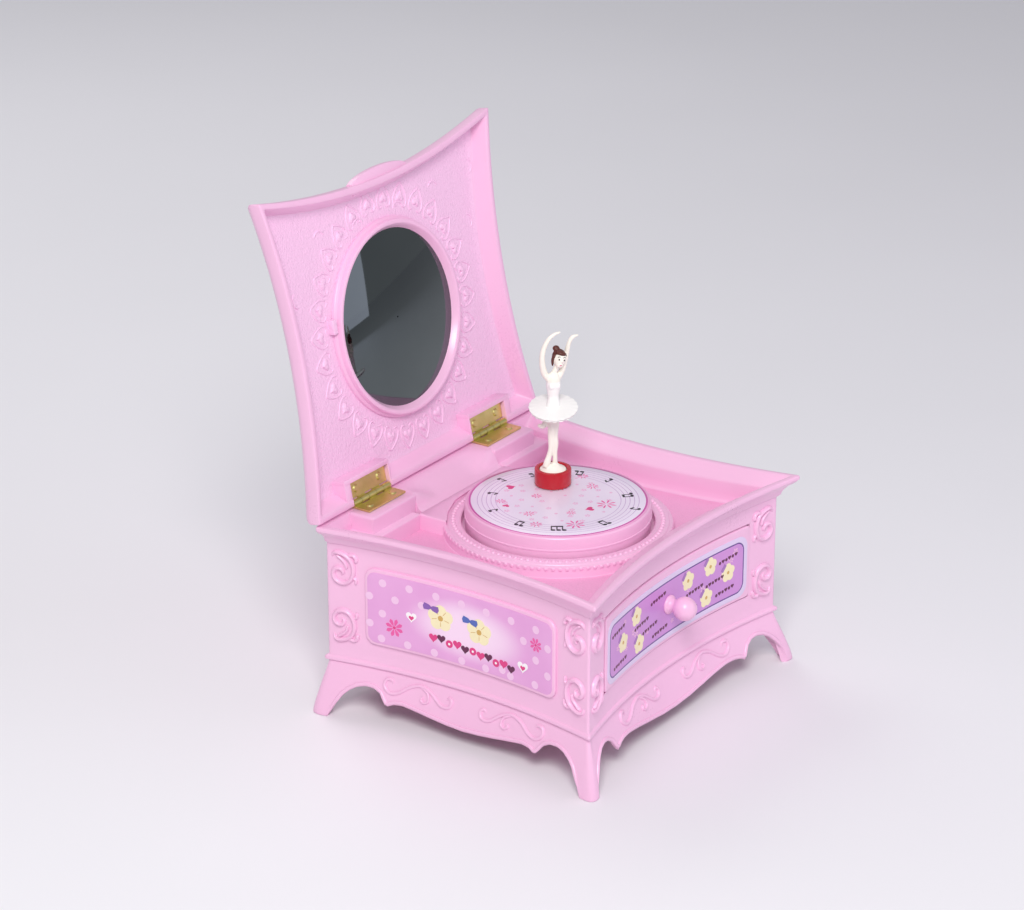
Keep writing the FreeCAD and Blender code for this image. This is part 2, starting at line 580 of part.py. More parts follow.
def wheel(radius, teeth, thickness, at, axis="z", bore=0.9, depth=1.1):
    # a toothed disc: each tooth is a trapezium on the root circle
    points = []
    for tooth in range(teeth):
        for share, reach in ((0.0, -depth), (0.22, -depth), (0.36, 0), (0.64, 0), (0.78, -depth)):
            turn = 2 * math.pi * (tooth + share) / teeth
            points.append(FreeCAD.Vector((radius + reach) * math.cos(turn), (radius + reach) * math.sin(turn), 0))
    disc = Part.Face(Part.makePolygon(points + points[:1])).extrude(FreeCAD.Vector(0, 0, thickness))
    disc = disc.cut(Part.makeCylinder(bore, thickness))
    piece = solid(disc, "Wheel")
    if axis == "x":
        piece.Placement = FreeCAD.Placement(FreeCAD.Vector(), FreeCAD.Rotation(FreeCAD.Vector(0, 1, 0), 90))
    return place(piece, *at)


def movementFixed():
    plate = block(("bracketX - 1.2", "keyX + 17"), ("7", "58"), ("plateTop", "bedTop"))
    combBlock = block(("-14", "14"), ("8", "15.5"), ("bedTop - 0.1", "cylinderZ - 0.7"))
    right, left = "cylinderHalf + 4.6", "-cylinderHalf - 7.4"
    bearings = [block((left, f"{left} + 1.6"), ("cylinderY - 4", "cylinderY + 4"), ("bedTop - 0.1", "cylinderZ + 3")),
                block((right, f"{right} + 1.6"), ("cylinderY - 4", "cylinderY + 17"),
                      ("cylinderZ - 4", "cylinderZ + 3")),
                block((right, f"{right} + 1.6"), ("cylinderY + 12", "cylinderY + 17"),
                      ("bedTop - 0.1", "cylinderZ + 3"))]
    cylinderBore = rod("1.31", "80", ("-40", "cylinderY", "cylinderZ"), "x")
    keyBore = rod("2.05", "10", ("keyX", "keyY", "plateTop - 2"))
    wormBore = rod("0.75", "2.4", ("wormX", "wormY", "bedTop - 2"))
    threads = [rod("1.1", "6", (x, "11", "cylinderZ - 5")) for x in ("-9", "9")]
    mounts = [rod("1.3", "8", (x, y, "plateTop - 2")) for x, y in movementScrews]
    keep(cut(fuse(plate, combBlock, *bearings), cylinderBore, keyBore, wormBore, *threads, *mounts),
         "movement_frame")
    cup = cut(rod("springRadius", "springHeight", ("keyX", "keyY", "bedTop")),
              rod("springRadius - 0.9", "springHeight", ("keyX", "keyY", "bedTop - 0.9")),
              rod("2.06", "springHeight + 2", ("keyX", "keyY", "bedTop")))
    keep(cup, "spring_housing")
    blade = block(("-12.6", "12.6"), ("8", "22.5"), ("cylinderZ - 0.6", "cylinderZ + 0.4"))
    slots = [block((f"-12.6 + 1.4 * {k} - 0.15", f"-12.6 + 1.4 * {k} + 0.15"), ("15.5", "23"),
                   ("cylinderZ - 1", "cylinderZ + 1")) for k in range(1, 18)]
    combHoles = [rod("1.2", "4", (x, "11", "cylinderZ - 2")) for x in ("-9", "9")]
    keep(cut(blade, *slots, *combHoles), "comb")
    keep(group(*[fuse(rod("1.05", "5.5", (x, "11", "cylinderZ - 4.8")), rod("2.1", "1.3", (x, "11", "cylinderZ + 0.4")))
                 for x in ("-9", "9")]), "comb_screws")
    keep(group(*[fuse(rod("1.2", "bedTop - caseBottom - 1", (x, y, "caseBottom + 1.1")),
                      rod("2.3", "1.3", (x, y, "bedTop"))) for x, y in movementScrews]), "movement_screws")
    # the bracket carries the idler, the drive shaft's bearing and the governor's top pivot
    arch = block(("bracketX", "5"), ("-2", "49"), ("takeOffZ + 4.6", "takeOffZ + 6.2"))
    post = block(("bracketX", "bracketX + 1.6"), ("36", "49"), ("bedTop", "takeOffZ + 6.2"))
    bores = [rod(radius, "4", (x, y, "takeOffZ + 3"))
             for radius, x, y in (("1.55", "0", "stageY"), ("0.95", "idlerX", "idlerY"), ("0.75", "wormX", "wormY"))]
    keep(cut(fuse(arch, post), *bores), "governor_bracket")


def mainspring():
    # ribbon of half circles whose centres alternate, wound from the arbor to the housing
    step, ribbon, inner, halves = 0.35, 0.2, 2.9, 20
    edges, back = [], []
    for turn in range(halves):
        sign = 1 if turn % 2 else -1
        centre = FreeCAD.Vector(sign * step / 2, 0, 0)
        radius = inner + step * turn
        for store, reach in ((edges, radius), (back, radius + ribbon)):
            store.append([centre + FreeCAD.Vector(-sign * reach, 0, 0), centre + FreeCAD.Vector(0, sign * reach, 0),
                          centre + FreeCAD.Vector(sign * reach, 0, 0)])
    sides = [Part.Arc(*ends).toShape() for ends in edges + back]
    tails = [Part.makeLine(edges[0][0], back[0][0]), Part.makeLine(edges[-1][2], back[-1][2])]
    wire = Part.Wire(Part.__sortEdges__(sides + tails))
    coil = Part.Face(wire).extrude(FreeCAD.Vector(0, 0, value("springHeight") - 2.4))
    keep(place(solid(coil, "Ribbon"), "keyX", "keyY", "bedTop + 0.7"), "mainspring")


def windingTrain():
    at = ("keyX", "keyY")
    stem = fuse(rod("2", "cylinderZ - gearRadius - 0.9 - plateTop + 5", (*at, "plateTop - 5")),
                rod("1.6", "6", (*at, "plateTop - 10")))
    keep(stem, "winding_arbor")
    top = "cylinderZ - gearRadius - 2.4"
    keep(wheel(value("wheelRadius"), 40, 1.6, (*at, top), bore=2), "great_wheel")
    boss = rod("3.4", "7", (*at, "plateTop - 12.4"))
    low = "plateTop - keyDrop - 3.4"
    wings = []
    for sign in (-1, 1):
        centre = (f"keyX + {sign} * keySpan / 4", "keyY - 1.1", f"{low} + 6")
        ringOuter = rod("keySpan / 4 + 0.6", "2.2", centre, "y")
        ringHole = rod("2.6", "4", (centre[0], "keyY - 2", centre[2]), "y")
        wings.append(cut(ringOuter, ringHole))
    web = block(("keyX - 2.4", "keyX + 2.4"), ("keyY - 1.1", "keyY + 1.1"), (f"{low} + 2", "plateTop - 12"))
    keep(cut(fuse(boss, web, *wings), rod("1.62", "8", (*at, "plateTop - 10.02"))), "winding_key")


def cylinderTrain():
    drum = cut(rod("cylinderRadius", "2 * cylinderHalf", ("-cylinderHalf", "cylinderY", "cylinderZ"), "x"),
               rod("1.3", "2 * cylinderHalf", ("-cylinderHalf", "cylinderY", "cylinderZ"), "x"))
    doc.recompute()
    pins = []
    radius, tip, half = value("cylinderRadius"), value("pinTip"), value("cylinderHalf")
    tracks, rows = 18, 4
    for note in range(tracks * rows):
        along = -half + 1.6 + (note % tracks) * (2 * half - 3.2) / (tracks - 1)
        turn = math.radians(note * 137.5)
        out = FreeCAD.Vector(0, math.cos(turn), math.sin(turn))
        foot = FreeCAD.Vector(along, value("cylinderY"), value("cylinderZ")) + out * (radius - 0.4)
        pins.append(Part.makeCylinder(0.2, tip - radius + 0.4, foot, out))
    keep(solid(drum.Shape.multiFuse(pins), "Drum"), "pinned_cylinder")
    keep(rod("1.25", "2 * cylinderHalf + 16", ("-cylinderHalf - 8", "cylinderY", "cylinderZ"), "x"),
         "cylinder_arbor")
    keep(wheel(value("gearRadius"), 24, 1.6, ("cylinderHalf + 1.4", "cylinderY", "cylinderZ"), "x", 1.25),
         "cylinder_gear")
    keep(wheel(value("driveRadius"), 30, 1.6, ("-cylinderHalf - 4.4", "cylinderY", "cylinderZ"), "x", 1.25),
         "drive_gear")


def governor():
    at = ("wormX", "wormY")
    worm = fuse(rod("0.7", "takeOffZ + 7 - bedTop", (*at, "bedTop - 1")), rod("1.5", "9", (*at, "cylinderZ - 10")))
    keep(worm, "governor_worm")
    hub = rod("2", "2.4", (*at, "takeOffZ - 3"))
    blades = [block((f"wormX + {sx} * 3.4 - 2.4", f"wormX + {sx} * 3.4 + 2.4"), ("wormY - 0.4", "wormY + 0.4"),
                    ("takeOffZ - 4.4", "takeOffZ + 1.4")) for sx in (1, -1)]
    keep(cut(fuse(hub, *blades), rod("0.7", "12", (*at, "takeOffZ - 6"))), "air_brake")
    arbor = rod("0.9", "7.6", ("idlerX", "idlerY", "takeOffZ - 0.6"))
    keep(arbor, "idler_arbor")
    keep(wheel(value("idlerRadius"), 28, 1.4, ("idlerX", "idlerY", "takeOffZ"), bore=0.9), "idler_wheel")


def rotor():
    at = ("0", "stageY")
    keep(rod("1.5", "24", (*at, "takeOffZ - 2")), "drive_shaft")
    keep(wheel(value("rotorGear"), 40, 1.4, (*at, "takeOffZ"), bore=1.5), "rotor_gear")
    turn = math.degrees(math.atan2(value("dancerY - stageY"), value("dancerX")))
    arm = cut(fuse(rod("magnetOrbit + 8", "1.6", (*at, "takeOffZ + 17.6")), rod("3.6", "4", (*at, "takeOffZ + 15"))),
              rod("1.5", "9", (*at, "takeOffZ + 12")))
    keep(arm, "magnet_carrier")
    magnets = []
    for half in (0, 180):
        angle = math.radians(turn + half)
        magnets.append(rod("6", "3", (f"magnetOrbit * {math.cos(angle):.5f}",
                                      f"stageY + magnetOrbit * {math.sin(angle):.5f}", "takeOffZ + 19.2")))
    keep(group(*magnets), "carrier_magnets")


baseFrame()
tray(caseBody())
bottomPlate()
bottomScrews()
stage()
labels()
drawer()
drawerGuide()
lid()
hinges()
dancer()
movementFixed()
mainspring()
windingTrain()
cylinderTrain()
governor()
rotor()
doc.recompute()

for thing in doc.Objects:
    if "Invalid" in thing.State or "Error" in thing.State:
        raise RuntimeError(f"{thing.Label} failed: {thing.State}")
for node in nodes:
    if node.Shape.isNull() or not node.Shape.isValid() or not node.Shape.Solids:
        raise RuntimeError(f"{node.Label} has no valid solid")

# the origin goes under the middle of the open box
os.makedirs("parts", exist_ok=True)
for node in nodes:
    shape = node.Shape.copy()
    shape.translate(FreeCAD.Vector(0, -value("openMiddle"), 0))
    shape.exportStep(f"parts/{node.Label}.step")
    print(f"{node.Label}: {len(node.Shape.Solids)} solid, {node.Shape.Volume / 1000:.2f} cm3")
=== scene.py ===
import bpy, bmesh, math, random
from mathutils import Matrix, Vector


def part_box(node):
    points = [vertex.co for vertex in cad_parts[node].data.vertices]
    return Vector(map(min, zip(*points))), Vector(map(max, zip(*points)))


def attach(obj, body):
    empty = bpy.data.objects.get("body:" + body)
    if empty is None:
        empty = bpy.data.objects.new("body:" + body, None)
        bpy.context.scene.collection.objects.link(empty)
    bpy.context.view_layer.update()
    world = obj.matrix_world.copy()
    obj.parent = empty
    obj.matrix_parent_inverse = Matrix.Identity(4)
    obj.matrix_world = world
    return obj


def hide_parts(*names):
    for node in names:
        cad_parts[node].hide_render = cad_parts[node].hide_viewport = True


# Wind-up music box: pink moulded case, mirror lid, drawer, stage and dancer. Sizes below are in millimetres.

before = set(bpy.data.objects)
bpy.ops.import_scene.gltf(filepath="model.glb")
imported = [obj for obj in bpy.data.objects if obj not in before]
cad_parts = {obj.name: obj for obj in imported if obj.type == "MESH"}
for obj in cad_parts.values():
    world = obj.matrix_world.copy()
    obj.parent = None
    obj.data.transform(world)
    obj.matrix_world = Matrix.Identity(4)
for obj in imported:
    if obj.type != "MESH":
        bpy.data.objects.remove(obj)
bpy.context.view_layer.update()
random.seed(11)


def middle(node):
    low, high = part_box(node)
    return [(a + b) / 2 * 1000 for a, b in zip(low, high)]


stageMid = middle("stage_cap")
pinMid = middle("left_hinge_pin")
dancerMid = middle("dancer_magnet")
shiftY = stageMid[1] - 2  # the case's own middle line, along Y
hingeY, hingeZ = pinMid[1] - shiftY, pinMid[2]
lidOpen = math.radians(101.3)


def mm(x, y, z):
    return Vector((x, y + shiftY, z)) / 1000


def lidPoint(x, y, z):  # a point given with the lid shut, carried to the open lid
    c, s = math.cos(-lidOpen), math.sin(-lidOpen)
    dy, dz = y - hingeY, z - hingeZ
    return mm(x, hingeY + dy * c - dz * s, hingeZ + dy * s + dz * c)


# meshes

def makePiece(name, points, faces, body, material, nodes=(), crease=35, faceSlots=None):
    mesh = bpy.data.meshes.new(name)
    mesh.from_pydata([tuple(p) for p in points], [], faces)
    shell = bmesh.new()
    shell.from_mesh(mesh)
    if faceSlots:
        for face, index in zip(shell.faces, faceSlots):
            face.material_index = index
    bmesh.ops.remove_doubles(shell, verts=shell.verts, dist=1e-7)
    bmesh.ops.dissolve_degenerate(shell, dist=1e-7, edges=shell.edges)
    bmesh.ops.recalc_face_normals(shell, faces=shell.faces)
    for face in shell.faces:
        face.smooth = True
    shell.to_mesh(mesh)
    shell.free()
    mesh.set_sharp_from_angle(angle=math.radians(crease))
    piece = bpy.data.objects.new(name, mesh)
    bpy.context.scene.collection.objects.link(piece)
    for each in (material if isinstance(material, (list, tuple)) else [material]):
        mesh.materials.append(each)
    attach(piece, body)
    if nodes:
        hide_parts(*nodes)
    return piece


class Shell:  # collects points and faces of one piece

    def __init__(self):
        self.points, self.faces, self.slots = [], [], []

    def add(self, points, faces, slot=0):
        start = len(self.points)
        self.points += points
        self.faces += [[start + i for i in face] for face in faces]
        self.slots += [slot] * len(faces)

    def rings(self, rings, slot=0, closed=False, capFirst=False, capLast=False, skip=None):
        count = len(rings[0])
        points = [p for ring in rings for p in ring]
        faces = []
        last = len(rings) if closed else len(rings) - 1
        for r in range(last):
            following = (r + 1) % len(rings)
            for k in range(count):
                if skip and skip(r, k):
                    continue
                n = (k + 1) % count
                faces.append([r * count + k, r * count + n, following * count + n, following * count + k])
        if capFirst:
            faces.append(list(range(count)))
        if capLast:
            faces.append([(len(rings) - 1) * count + k for k in range(count)][::-1])
        self.add(points, faces, slot)

    def ridge(self, path, normals, width, height, taper=0.12, sides=6, sink=0.12):
        # a raised half-round line lying on a surface, in metres
        rings = []
        for i, (point, normal) in enumerate(zip(path, normals)):
            before, after = path[max(i - 1, 0)], path[min(i + 1, len(path) - 1)]
            side = normal.cross(after - before)
            side = side.normalized() if side.length > 1e-9 else Vector((1, 0, 0))
            share = i / (len(path) - 1)
            ends = min(1, max(0.18, math.sqrt(min(share, 1 - share) / taper)))  # thins toward its ends
            ring = []
            for j in range(sides + 1):
                turn = math.pi * j / sides
                ring.append(point + side * math.cos(turn) * width * ends / 2000
                            + normal * (math.sin(turn) * height * ends - sink) / 1000)
            rings.append(ring)
        self.rings(rings, capFirst=True, capLast=True)

    def turned(self, profile, centre, place=mm, steps=96):
        # profile of radius and height turned about a vertical axis
        rings = []
        for radius, height in profile:
            rings.append([place(centre[0] + radius * math.cos(2 * math.pi * k / steps),
                                centre[1] + radius * math.sin(2 * math.pi * k / steps), height)
                          for k in range(steps)])
        self.rings(rings, closed=True)

    def dome(self, centre, normal, radius, height, steps=10, levels=3):
        # a low round bead on a surface
        side = normal.cross(Vector((0, 0, 1)) if abs(normal.z) < 0.9 else Vector((1, 0, 0))).normalized()
        other = normal.cross(side)
        rings = []
        for level in range(levels + 1):
            turn = math.pi / 2 * level / (levels + 0.35)
            angles = [2 * math.pi * k / steps for k in range(steps)]
            rings.append([centre + (side * math.cos(a) + other * math.sin(a)) * radius / 1000 * math.cos(turn)
                          + normal * (math.sin(turn) * height - 0.1) / 1000 for a in angles])
        self.rings(rings, capFirst=True, capLast=True)

    def make(self, name, body, material, nodes=(), crease=35, slot=None):
        several = isinstance(material, (list, tuple))
        return makePiece(name, self.points, self.faces, body, material, nodes, crease,
                         self.slots if several else None)


def smoothLine(points, steps=8):
    # an even curve through the points
    count, out = len(points), []
    for i in range(count - 1):
        p = [points[max(i - 1, 0)], points[i], points[i + 1], points[min(i + 2, count - 1)]]
        for s in range(steps):
            t = s / steps
            out.append([0.5 * (2 * p[1][a] + (p[2][a] - p[0][a]) * t
                               + (2 * p[0][a] - 5 * p[1][a] + 4 * p[2][a] - p[3][a]) * t * t
                               + (3 * p[1][a] - p[0][a] - 3 * p[2][a] + p[3][a]) * t ** 3)
                        for a in range(len(points[0]))])
    out.append(list(points[-1]))
    return out


# the bowed four-sided plan

boxLook = {"half": 80, "depth": 68.5, "sideBow": 8, "frontBow": 9.5}


def planSize(inset, back=0, half=boxLook["half"], depthFront=boxLook["depth"], depthBack=boxLook["depth"],
             corner=1.2):
    return {"halfX": half - inset, "front": depthFront - inset, "back": depthBack - back, "corner": corner,
            "sideBow": boxLook["sideBow"], "frontBow": boxLook["frontBow"]}


def onEdge(kind, a, s):
    if kind == "front":
        return a, -s["front"] + s["frontBow"] * (1 - (a / s["halfX"]) ** 2)
    if kind == "back":
        return a, s["back"]
    mid, half = (s["back"] - s["front"]) / 2, (s["back"] + s["front"]) / 2
    x = s["halfX"] - s["sideBow"] * (1 - ((a - mid) / half) ** 2)
    return (x if kind == "right" else -x), a


def edgeLimits(kind, s):
    if kind in ("front", "back"):
        return -(s["halfX"] - s["corner"]), s["halfX"] - s["corner"]
    return -(s["front"] - s["corner"]), s["back"] - s["corner"]


def planPoint(spot, s):
    kind, a, e = spot
    if kind in ("front", "right", "back", "left"):
        low, high = edgeLimits(kind, s)
        if e:
            a = a + ((high if a > 0 else low) - a) * e
        return onEdge(kind, min(max(a, low), high), s)
    first, second, signs = kind  # a rounded corner between two edges
    starts = edgeLimits(first, s)[signs[0] > 0]
    ends = edgeLimits(second, s)[signs[1] > 0]
    p0, p2 = onEdge(first, starts, s), onEdge(second, ends, s)
    cx = s["halfX"] * (1 if "right" in (first, second) else -1)
    p1 = (cx, -s["front"] if "front" in (first, second) else s["back"])
    return tuple((1 - a) ** 2 * p0[k] + 2 * a * (1 - a) * p1[k] + a * a * p2[k] for k in (0, 1))


def planSpots(frontMarks, sideMarks, backMarks=None, ends=(0.25, 0.5, 0.75, 1.0), rounds=(0.2, 0.4, 0.6, 0.8)):
    backMarks = backMarks or frontMarks

    def run(kind, marks):
        low, high = min(marks), max(marks)
        spots = [(kind, low, e) for e in reversed(ends)] + [(kind, m, 0) for m in sorted(marks)]
        return spots + [(kind, high, e) for e in ends]

    return (run("front", frontMarks) + [(("front", "right", (1, -1)), t, 0) for t in rounds]
            + run("right", sideMarks) + [(("right", "back", (1, 1)), t, 0) for t in rounds]
            + run("back", backMarks)[::-1] + [(("back", "left", (-1, 1)), t, 0) for t in rounds]
            + run("left", sideMarks)[::-1] + [(("left", "front", (-1, -1)), t, 0) for t in rounds])


def marks(low, high, step, *extra):
    count = round((high - low) / step)
    spread = [low + (high - low) * k / count for k in range(count + 1)]
    return sorted([m for m in spread if all(abs(m - e) > 0.6 for e in extra)] + list(extra))


def planRing(spots, size, z):
    return [mm(*planPoint(spot, size), z) for spot in spots]


def innerFill(shell, ring, centre, z, slot, place=mm, steps=10):
    # flat or shallow floor inside a ring, given as plan points
    rings = [[place(centre[0] + (x - centre[0]) * (1 - k / steps),
                    centre[1] + (y - centre[1]) * (1 - k / steps), z)
              for x, y in ring] for k in range(steps)]
    shell.rings(rings, slot, capLast=True)


# shader helpers

class Link:  # a value or colour socket that takes arithmetic

    def __init__(self, maker, socket):
        self.maker, self.socket = maker, socket

    def work(self, operation, *values):
        return self.maker.node("ShaderNodeMath", {"operation": operation}, dict(enumerate(values)))

    def __add__(self, other):
        return self.work("ADD", self, other)

    def __sub__(self, other):
        return self.work("SUBTRACT", self, other)

    def __rsub__(self, other):
        return self.work("SUBTRACT", other, self)

    def __mul__(self, other):
        return self.work("MULTIPLY", self, other)

    def __truediv__(self, other):
        return self.work("DIVIDE", self, other)

    def __rtruediv__(self, other):
        return self.work("DIVIDE", other, self)

    def __pow__(self, other):
        return self.work("POWER", self, other)

    def __gt__(self, other):
        return self.work("GREATER_THAN", self, other)

    def __lt__(self, other):
        return self.work("LESS_THAN", self, other)

    def __abs__(self):
        return self.work("ABSOLUTE", self)

    def atLeast(self, lowest):
        return self.work("MAXIMUM", self, lowest)

    __radd__, __rmul__ = __add__, __mul__


class Finish:  # one material under way

    def __init__(self, name, fixed):
        self.material = bpy.data.materials.new(name)
        self.material.use_nodes = True
        self.tree = self.material.node_tree
        self.shader = self.tree.nodes["Principled BSDF"]
        for socket, amount in fixed.items():
            self.shader.inputs[socket].default_value = amount
        self.coords = self.node("ShaderNodeTexCoord", out="Object")

    def node(self, kind, settings=None, values=None, out=0):
        made = self.tree.nodes.new(kind)
        for setting, amount in (settings or {}).items():
            if setting == "stops":
                ramp = made.color_ramp
                while len(ramp.elements) < len(amount):
                    ramp.elements.new(0.5)
                for element, (place, colour) in zip(ramp.elements, amount):
                    element.position, element.color = place, (*colour, 1)
            else:
                setattr(made, setting, amount)
        for socket, amount in (values or {}).items():
            target = made.inputs[socket]
            if isinstance(amount, Link):
                self.tree.links.new(amount.socket, target)
            else:
                target.default_value = (*amount, 1) if isinstance(amount,
                                                                  tuple) and target.type == "RGBA" else amount
        return Link(self, made.outputs[out])

    def feed(self, socket, link):
        self.tree.links.new(link.socket, self.shader.inputs[socket])

    def blend(self, first, second, share):
        made = self.tree.nodes.new("ShaderNodeMix")
        made.data_type = "RGBA"
        for index, amount in ((0, share), (6, first), (7, second)):
            if isinstance(amount, Link):
                self.tree.links.new(amount.socket, made.inputs[index])
            else:
                made.inputs[index].default_value = (*amount, 1) if isinstance(amount, tuple) else amount
        return Link(self, made.outputs[2])

    def noise(self, scale, detail=3):
        return self.node("ShaderNodeTexNoise", {}, {"Vector": self.coords, "Scale": scale, "Detail": detail},
                         "Fac")

    def bump(self, height, depth):
        # depth is the relief in metres
        link = self.node("ShaderNodeBump", {}, {"Height": height, "Strength": 1.0, "Distance": depth}, "Normal")
        self.feed("Normal", link)

    def split(self):
        parts = self.node("ShaderNodeSeparateXYZ", {}, {0: self.coords}).socket.node
        return [Link(self, parts.outputs[k]) for k in range(3)]


def shade(red, green, blue):
    return tuple((c / 255 / 12.92) if c / 255 <= 0.04045 else ((c / 255 + 0.055) / 1.055) ** 2.4
                 for c in (red, green, blue))


def mouldedFinish(name, colour, roughness=0.36, grain=0.0, vary=0.05, coat=0.0):
    # moulded plastic: faint clouding, tiny ripples, and leather grain where asked
    made = Finish(name, {"Roughness": roughness, "Coat Weight": coat, "Coat Roughness": 0.2})
    cloud = made.noise(22, 4)
    lighter = tuple(min(1, c * (1 + vary)) for c in colour)
    darker = tuple(c * (1 - vary) for c in colour)
    made.feed("Base Color", made.blend(darker, lighter, cloud))
    fine = made.noise(900, 2)
    made.feed("Roughness", cloud * 0.10 + (roughness - 0.08) + fine * 0.05)
    if grain:
        cells = made.node("ShaderNodeTexVoronoi", {"feature": "SMOOTH_F1"},
                          {"Vector": made.coords, "Scale": 1150, "Smoothness": 0.6}, "Distance")
        made.bump(made.noise(700, 4) * 0.7 + cells * 0.6, grain)
    else:
        made.bump(made.noise(160, 2) + fine * 0.15, 0.00006)
    return made.material


pinkPlastic = mouldedFinish("pinkPlastic", shade(244, 192, 224), roughness=0.3, coat=0.15)
pinkGrain = mouldedFinish("pinkGrain", shade(246, 200, 231), roughness=0.42, grain=0.00034)
# tray floor: the darker pink is painted shade of the recessed floor, while the grain is the surface's own
pinkFloorShaded = mouldedFinish("pinkFloorShaded", shade(240, 172, 211), roughness=0.44, grain=0.0003)
pinkMatt = mouldedFinish("pinkMatt", shade(243, 178, 208), roughness=0.55)
creamPlastic = mouldedFinish("creamPlastic", shade(252, 247, 234), roughness=0.36)
whitePlastic = mouldedFinish("whitePlastic", shade(252, 250, 246), roughness=0.4)
hairBrown = mouldedFinish("hairBrown", shade(92, 44, 36), roughness=0.45, grain=0.0001)
magnetRed = mouldedFinish("magnetRed", shade(188, 12, 30), roughness=0.24, coat=0.4)
faceInk = mouldedFinish("faceInk", shade(40, 26, 28), roughness=0.5)
print("finishes: plastics ready")


def metalFinish(name, colour, tint, roughness=0.3, brushed=(1, 1, 8)):
    made = Finish(name, {"Metallic": 1.0})
    stretch = made.node("ShaderNodeMapping", {}, {"Vector": made.coords, "Scale": Vector(brushed)})
    streak = made.node("ShaderNodeTexNoise", {}, {"Vector": stretch, "Scale": 420.0, "Detail": 3.0}, "Fac")
    stain = made.noise(180, 4)
    made.feed("Base Color", made.blend(colour, tint, stain))
    made.feed("Roughness", streak * 0.16 + (roughness - 0.04) + stain * 0.06)
    made.bump(streak, 0.00003)
    return made.material


hingeBrass = metalFinish("hingeBrass", shade(244, 230, 158), shade(196, 190, 108), 0.3)
brightSteel = metalFinish("brightSteel", shade(205, 206, 210), shade(168, 170, 176), 0.28)
zincCast = metalFinish("zincCast", shade(150, 151, 156), shade(118, 120, 126), 0.5)
wornBrass = metalFinish("wornBrass", shade(226, 190, 108), shade(190, 150, 74), 0.26)
magnetDark = mouldedFinish("magnetDark", shade(52, 52, 56), roughness=0.55)


def mirrorFinish():
    made = Finish("mirrorGlass", {"Metallic": 1.0, "Coat Weight": 0.6, "Coat Roughness": 0.03})
    haze = made.noise(30, 4)
    made.feed("Base Color", made.blend(shade(78, 86, 87), shade(92, 101, 101), haze))
    made.feed("Roughness", haze * 0.03 + 0.012)
    return made.material


mirrorGlass = mirrorFinish()

filmGloss = {"Roughness": 0.3, "Coat Weight": 0.25, "Coat Roughness": 0.15}
labelLook = {"ground": (236, 176, 224), "glow": (250, 220, 243), "edge": (226, 156, 214),
             "middleY": 1.5, "middleZ": 51.5, "glowHalfY": 29.0, "glowHalfZ": 13.5}


def labelFinish():
    # printed film with a pale glow in the middle
    made = Finish("labelFilm", filmGloss)
    y, z = made.split()[1:]
    across = (y - (shiftY + labelLook["middleY"]) / 1000) / (labelLook["glowHalfY"] / 1000)
    up = (z - labelLook["middleZ"] / 1000) / (labelLook["glowHalfZ"] / 1000)
    spread = (across * across) + (up * up)
    glow = made.node("ShaderNodeMapRange", {"interpolation_type": "SMOOTHSTEP"},
                     {"Value": spread, "From Min": 0.1, "From Max": 1.15, "To Min": 1.0, "To Max": 0.0})
    paper = made.noise(60, 3)
    base = made.blend(shade(*labelLook["edge"]), shade(*labelLook["ground"]), paper)
    made.feed("Base Color", made.blend(base, shade(*labelLook["glow"]), glow))
    made.feed("Roughness", paper * 0.08 + 0.26)
    made.bump(paper, 0.00003)
    return made.material


labelFilm = labelFinish()

printInks = {"dots": (247, 204, 236), "flower": (238, 96, 168), "heart": (226, 62, 134),
             "cream": (252, 240, 196),
             "gold": (214, 172, 92), "purple": (140, 96, 178), "blue": (84, 108, 186), "dark": (98, 30, 74),
             "blackish": (38, 26, 40), "paleFlower": (240, 190, 222), "white": (255, 250, 252),
             "lilac": (170, 120, 190)}


def capital(word):
    return word[0].upper() + word[1:]


def inkFinish(name, colour):
    made = Finish("ink" + capital(name), {"Roughness": 0.32})
    speck = made.noise(260, 2)
    made.feed("Base Color", made.blend(tuple(c * 0.94 for c in colour), colour, speck))
    made.feed("Roughness", speck * 0.1 + 0.28)
    return made.material


inks = {name: inkFinish(name, shade(*colour)) for name, colour in printInks.items()}
borderLook = {"half": 52.2, "halfZ": 11.9, "corner": 4.6, "middleZ": 51.6, "line": 0.6}


def drawerFilmFinish():
    # lavender border, dark purple line and orchid field, from the distance to a rounded rectangle
    made = Finish("drawerFilm", filmGloss)
    x, z = made.split()[::2]
    halfX, halfZ, corner, midZ, thick = (borderLook[key] / 1000
                                         for key in ("half", "halfZ", "corner", "middleZ", "line"))
    dx = (abs(x) - (halfX - corner)).atLeast(0.0)
    dz = (abs(z - midZ) - (halfZ - corner)).atLeast(0.0)
    reach = (dx * dx + dz * dz) ** 0.5
    cloud = made.noise(55, 3)
    field = made.blend(shade(196, 136, 212), shade(216, 150, 216), cloud)
    inside = reach < (corner - thick)
    line = reach < corner
    edged = made.blend(shade(226, 208, 238), shade(92, 52, 138), line)
    made.feed("Base Color", made.blend(edged, field, inside))
    made.feed("Roughness", cloud * 0.08 + 0.27)
    made.bump(cloud, 0.00003)
    return made.material


def stageFilmFinish():
    # pale disc, a thin ring near the rim and five staff lines
    made = Finish("stageFilm", filmGloss)
    x, y = made.split()[:2]
    dx, dy = x - stageMid[0] / 1000, y - stageMid[1] / 1000
    radius = (dx * dx + dy * dy) ** 0.5 * 1000
    cloud = made.noise(45, 4)
    colour = made.blend(shade(232, 218, 242), shade(250, 238, 250), cloud)
    for place in (26.2, 28.1, 30.0, 31.9, 33.8):
        line = abs(radius - place) < 0.14
        colour = made.blend(colour, shade(196, 160, 206), line * 0.85)
    outer = abs(radius - 37.0) < 0.4
    colour = made.blend(colour, shade(206, 84, 168), outer)
    colour = made.blend(colour, shade(240, 170, 212), radius > 37.4)
    made.feed("Base Color", colour)
    made.feed("Roughness", cloud * 0.08 + 0.26)
    made.bump(cloud, 0.00003)
    return made.material


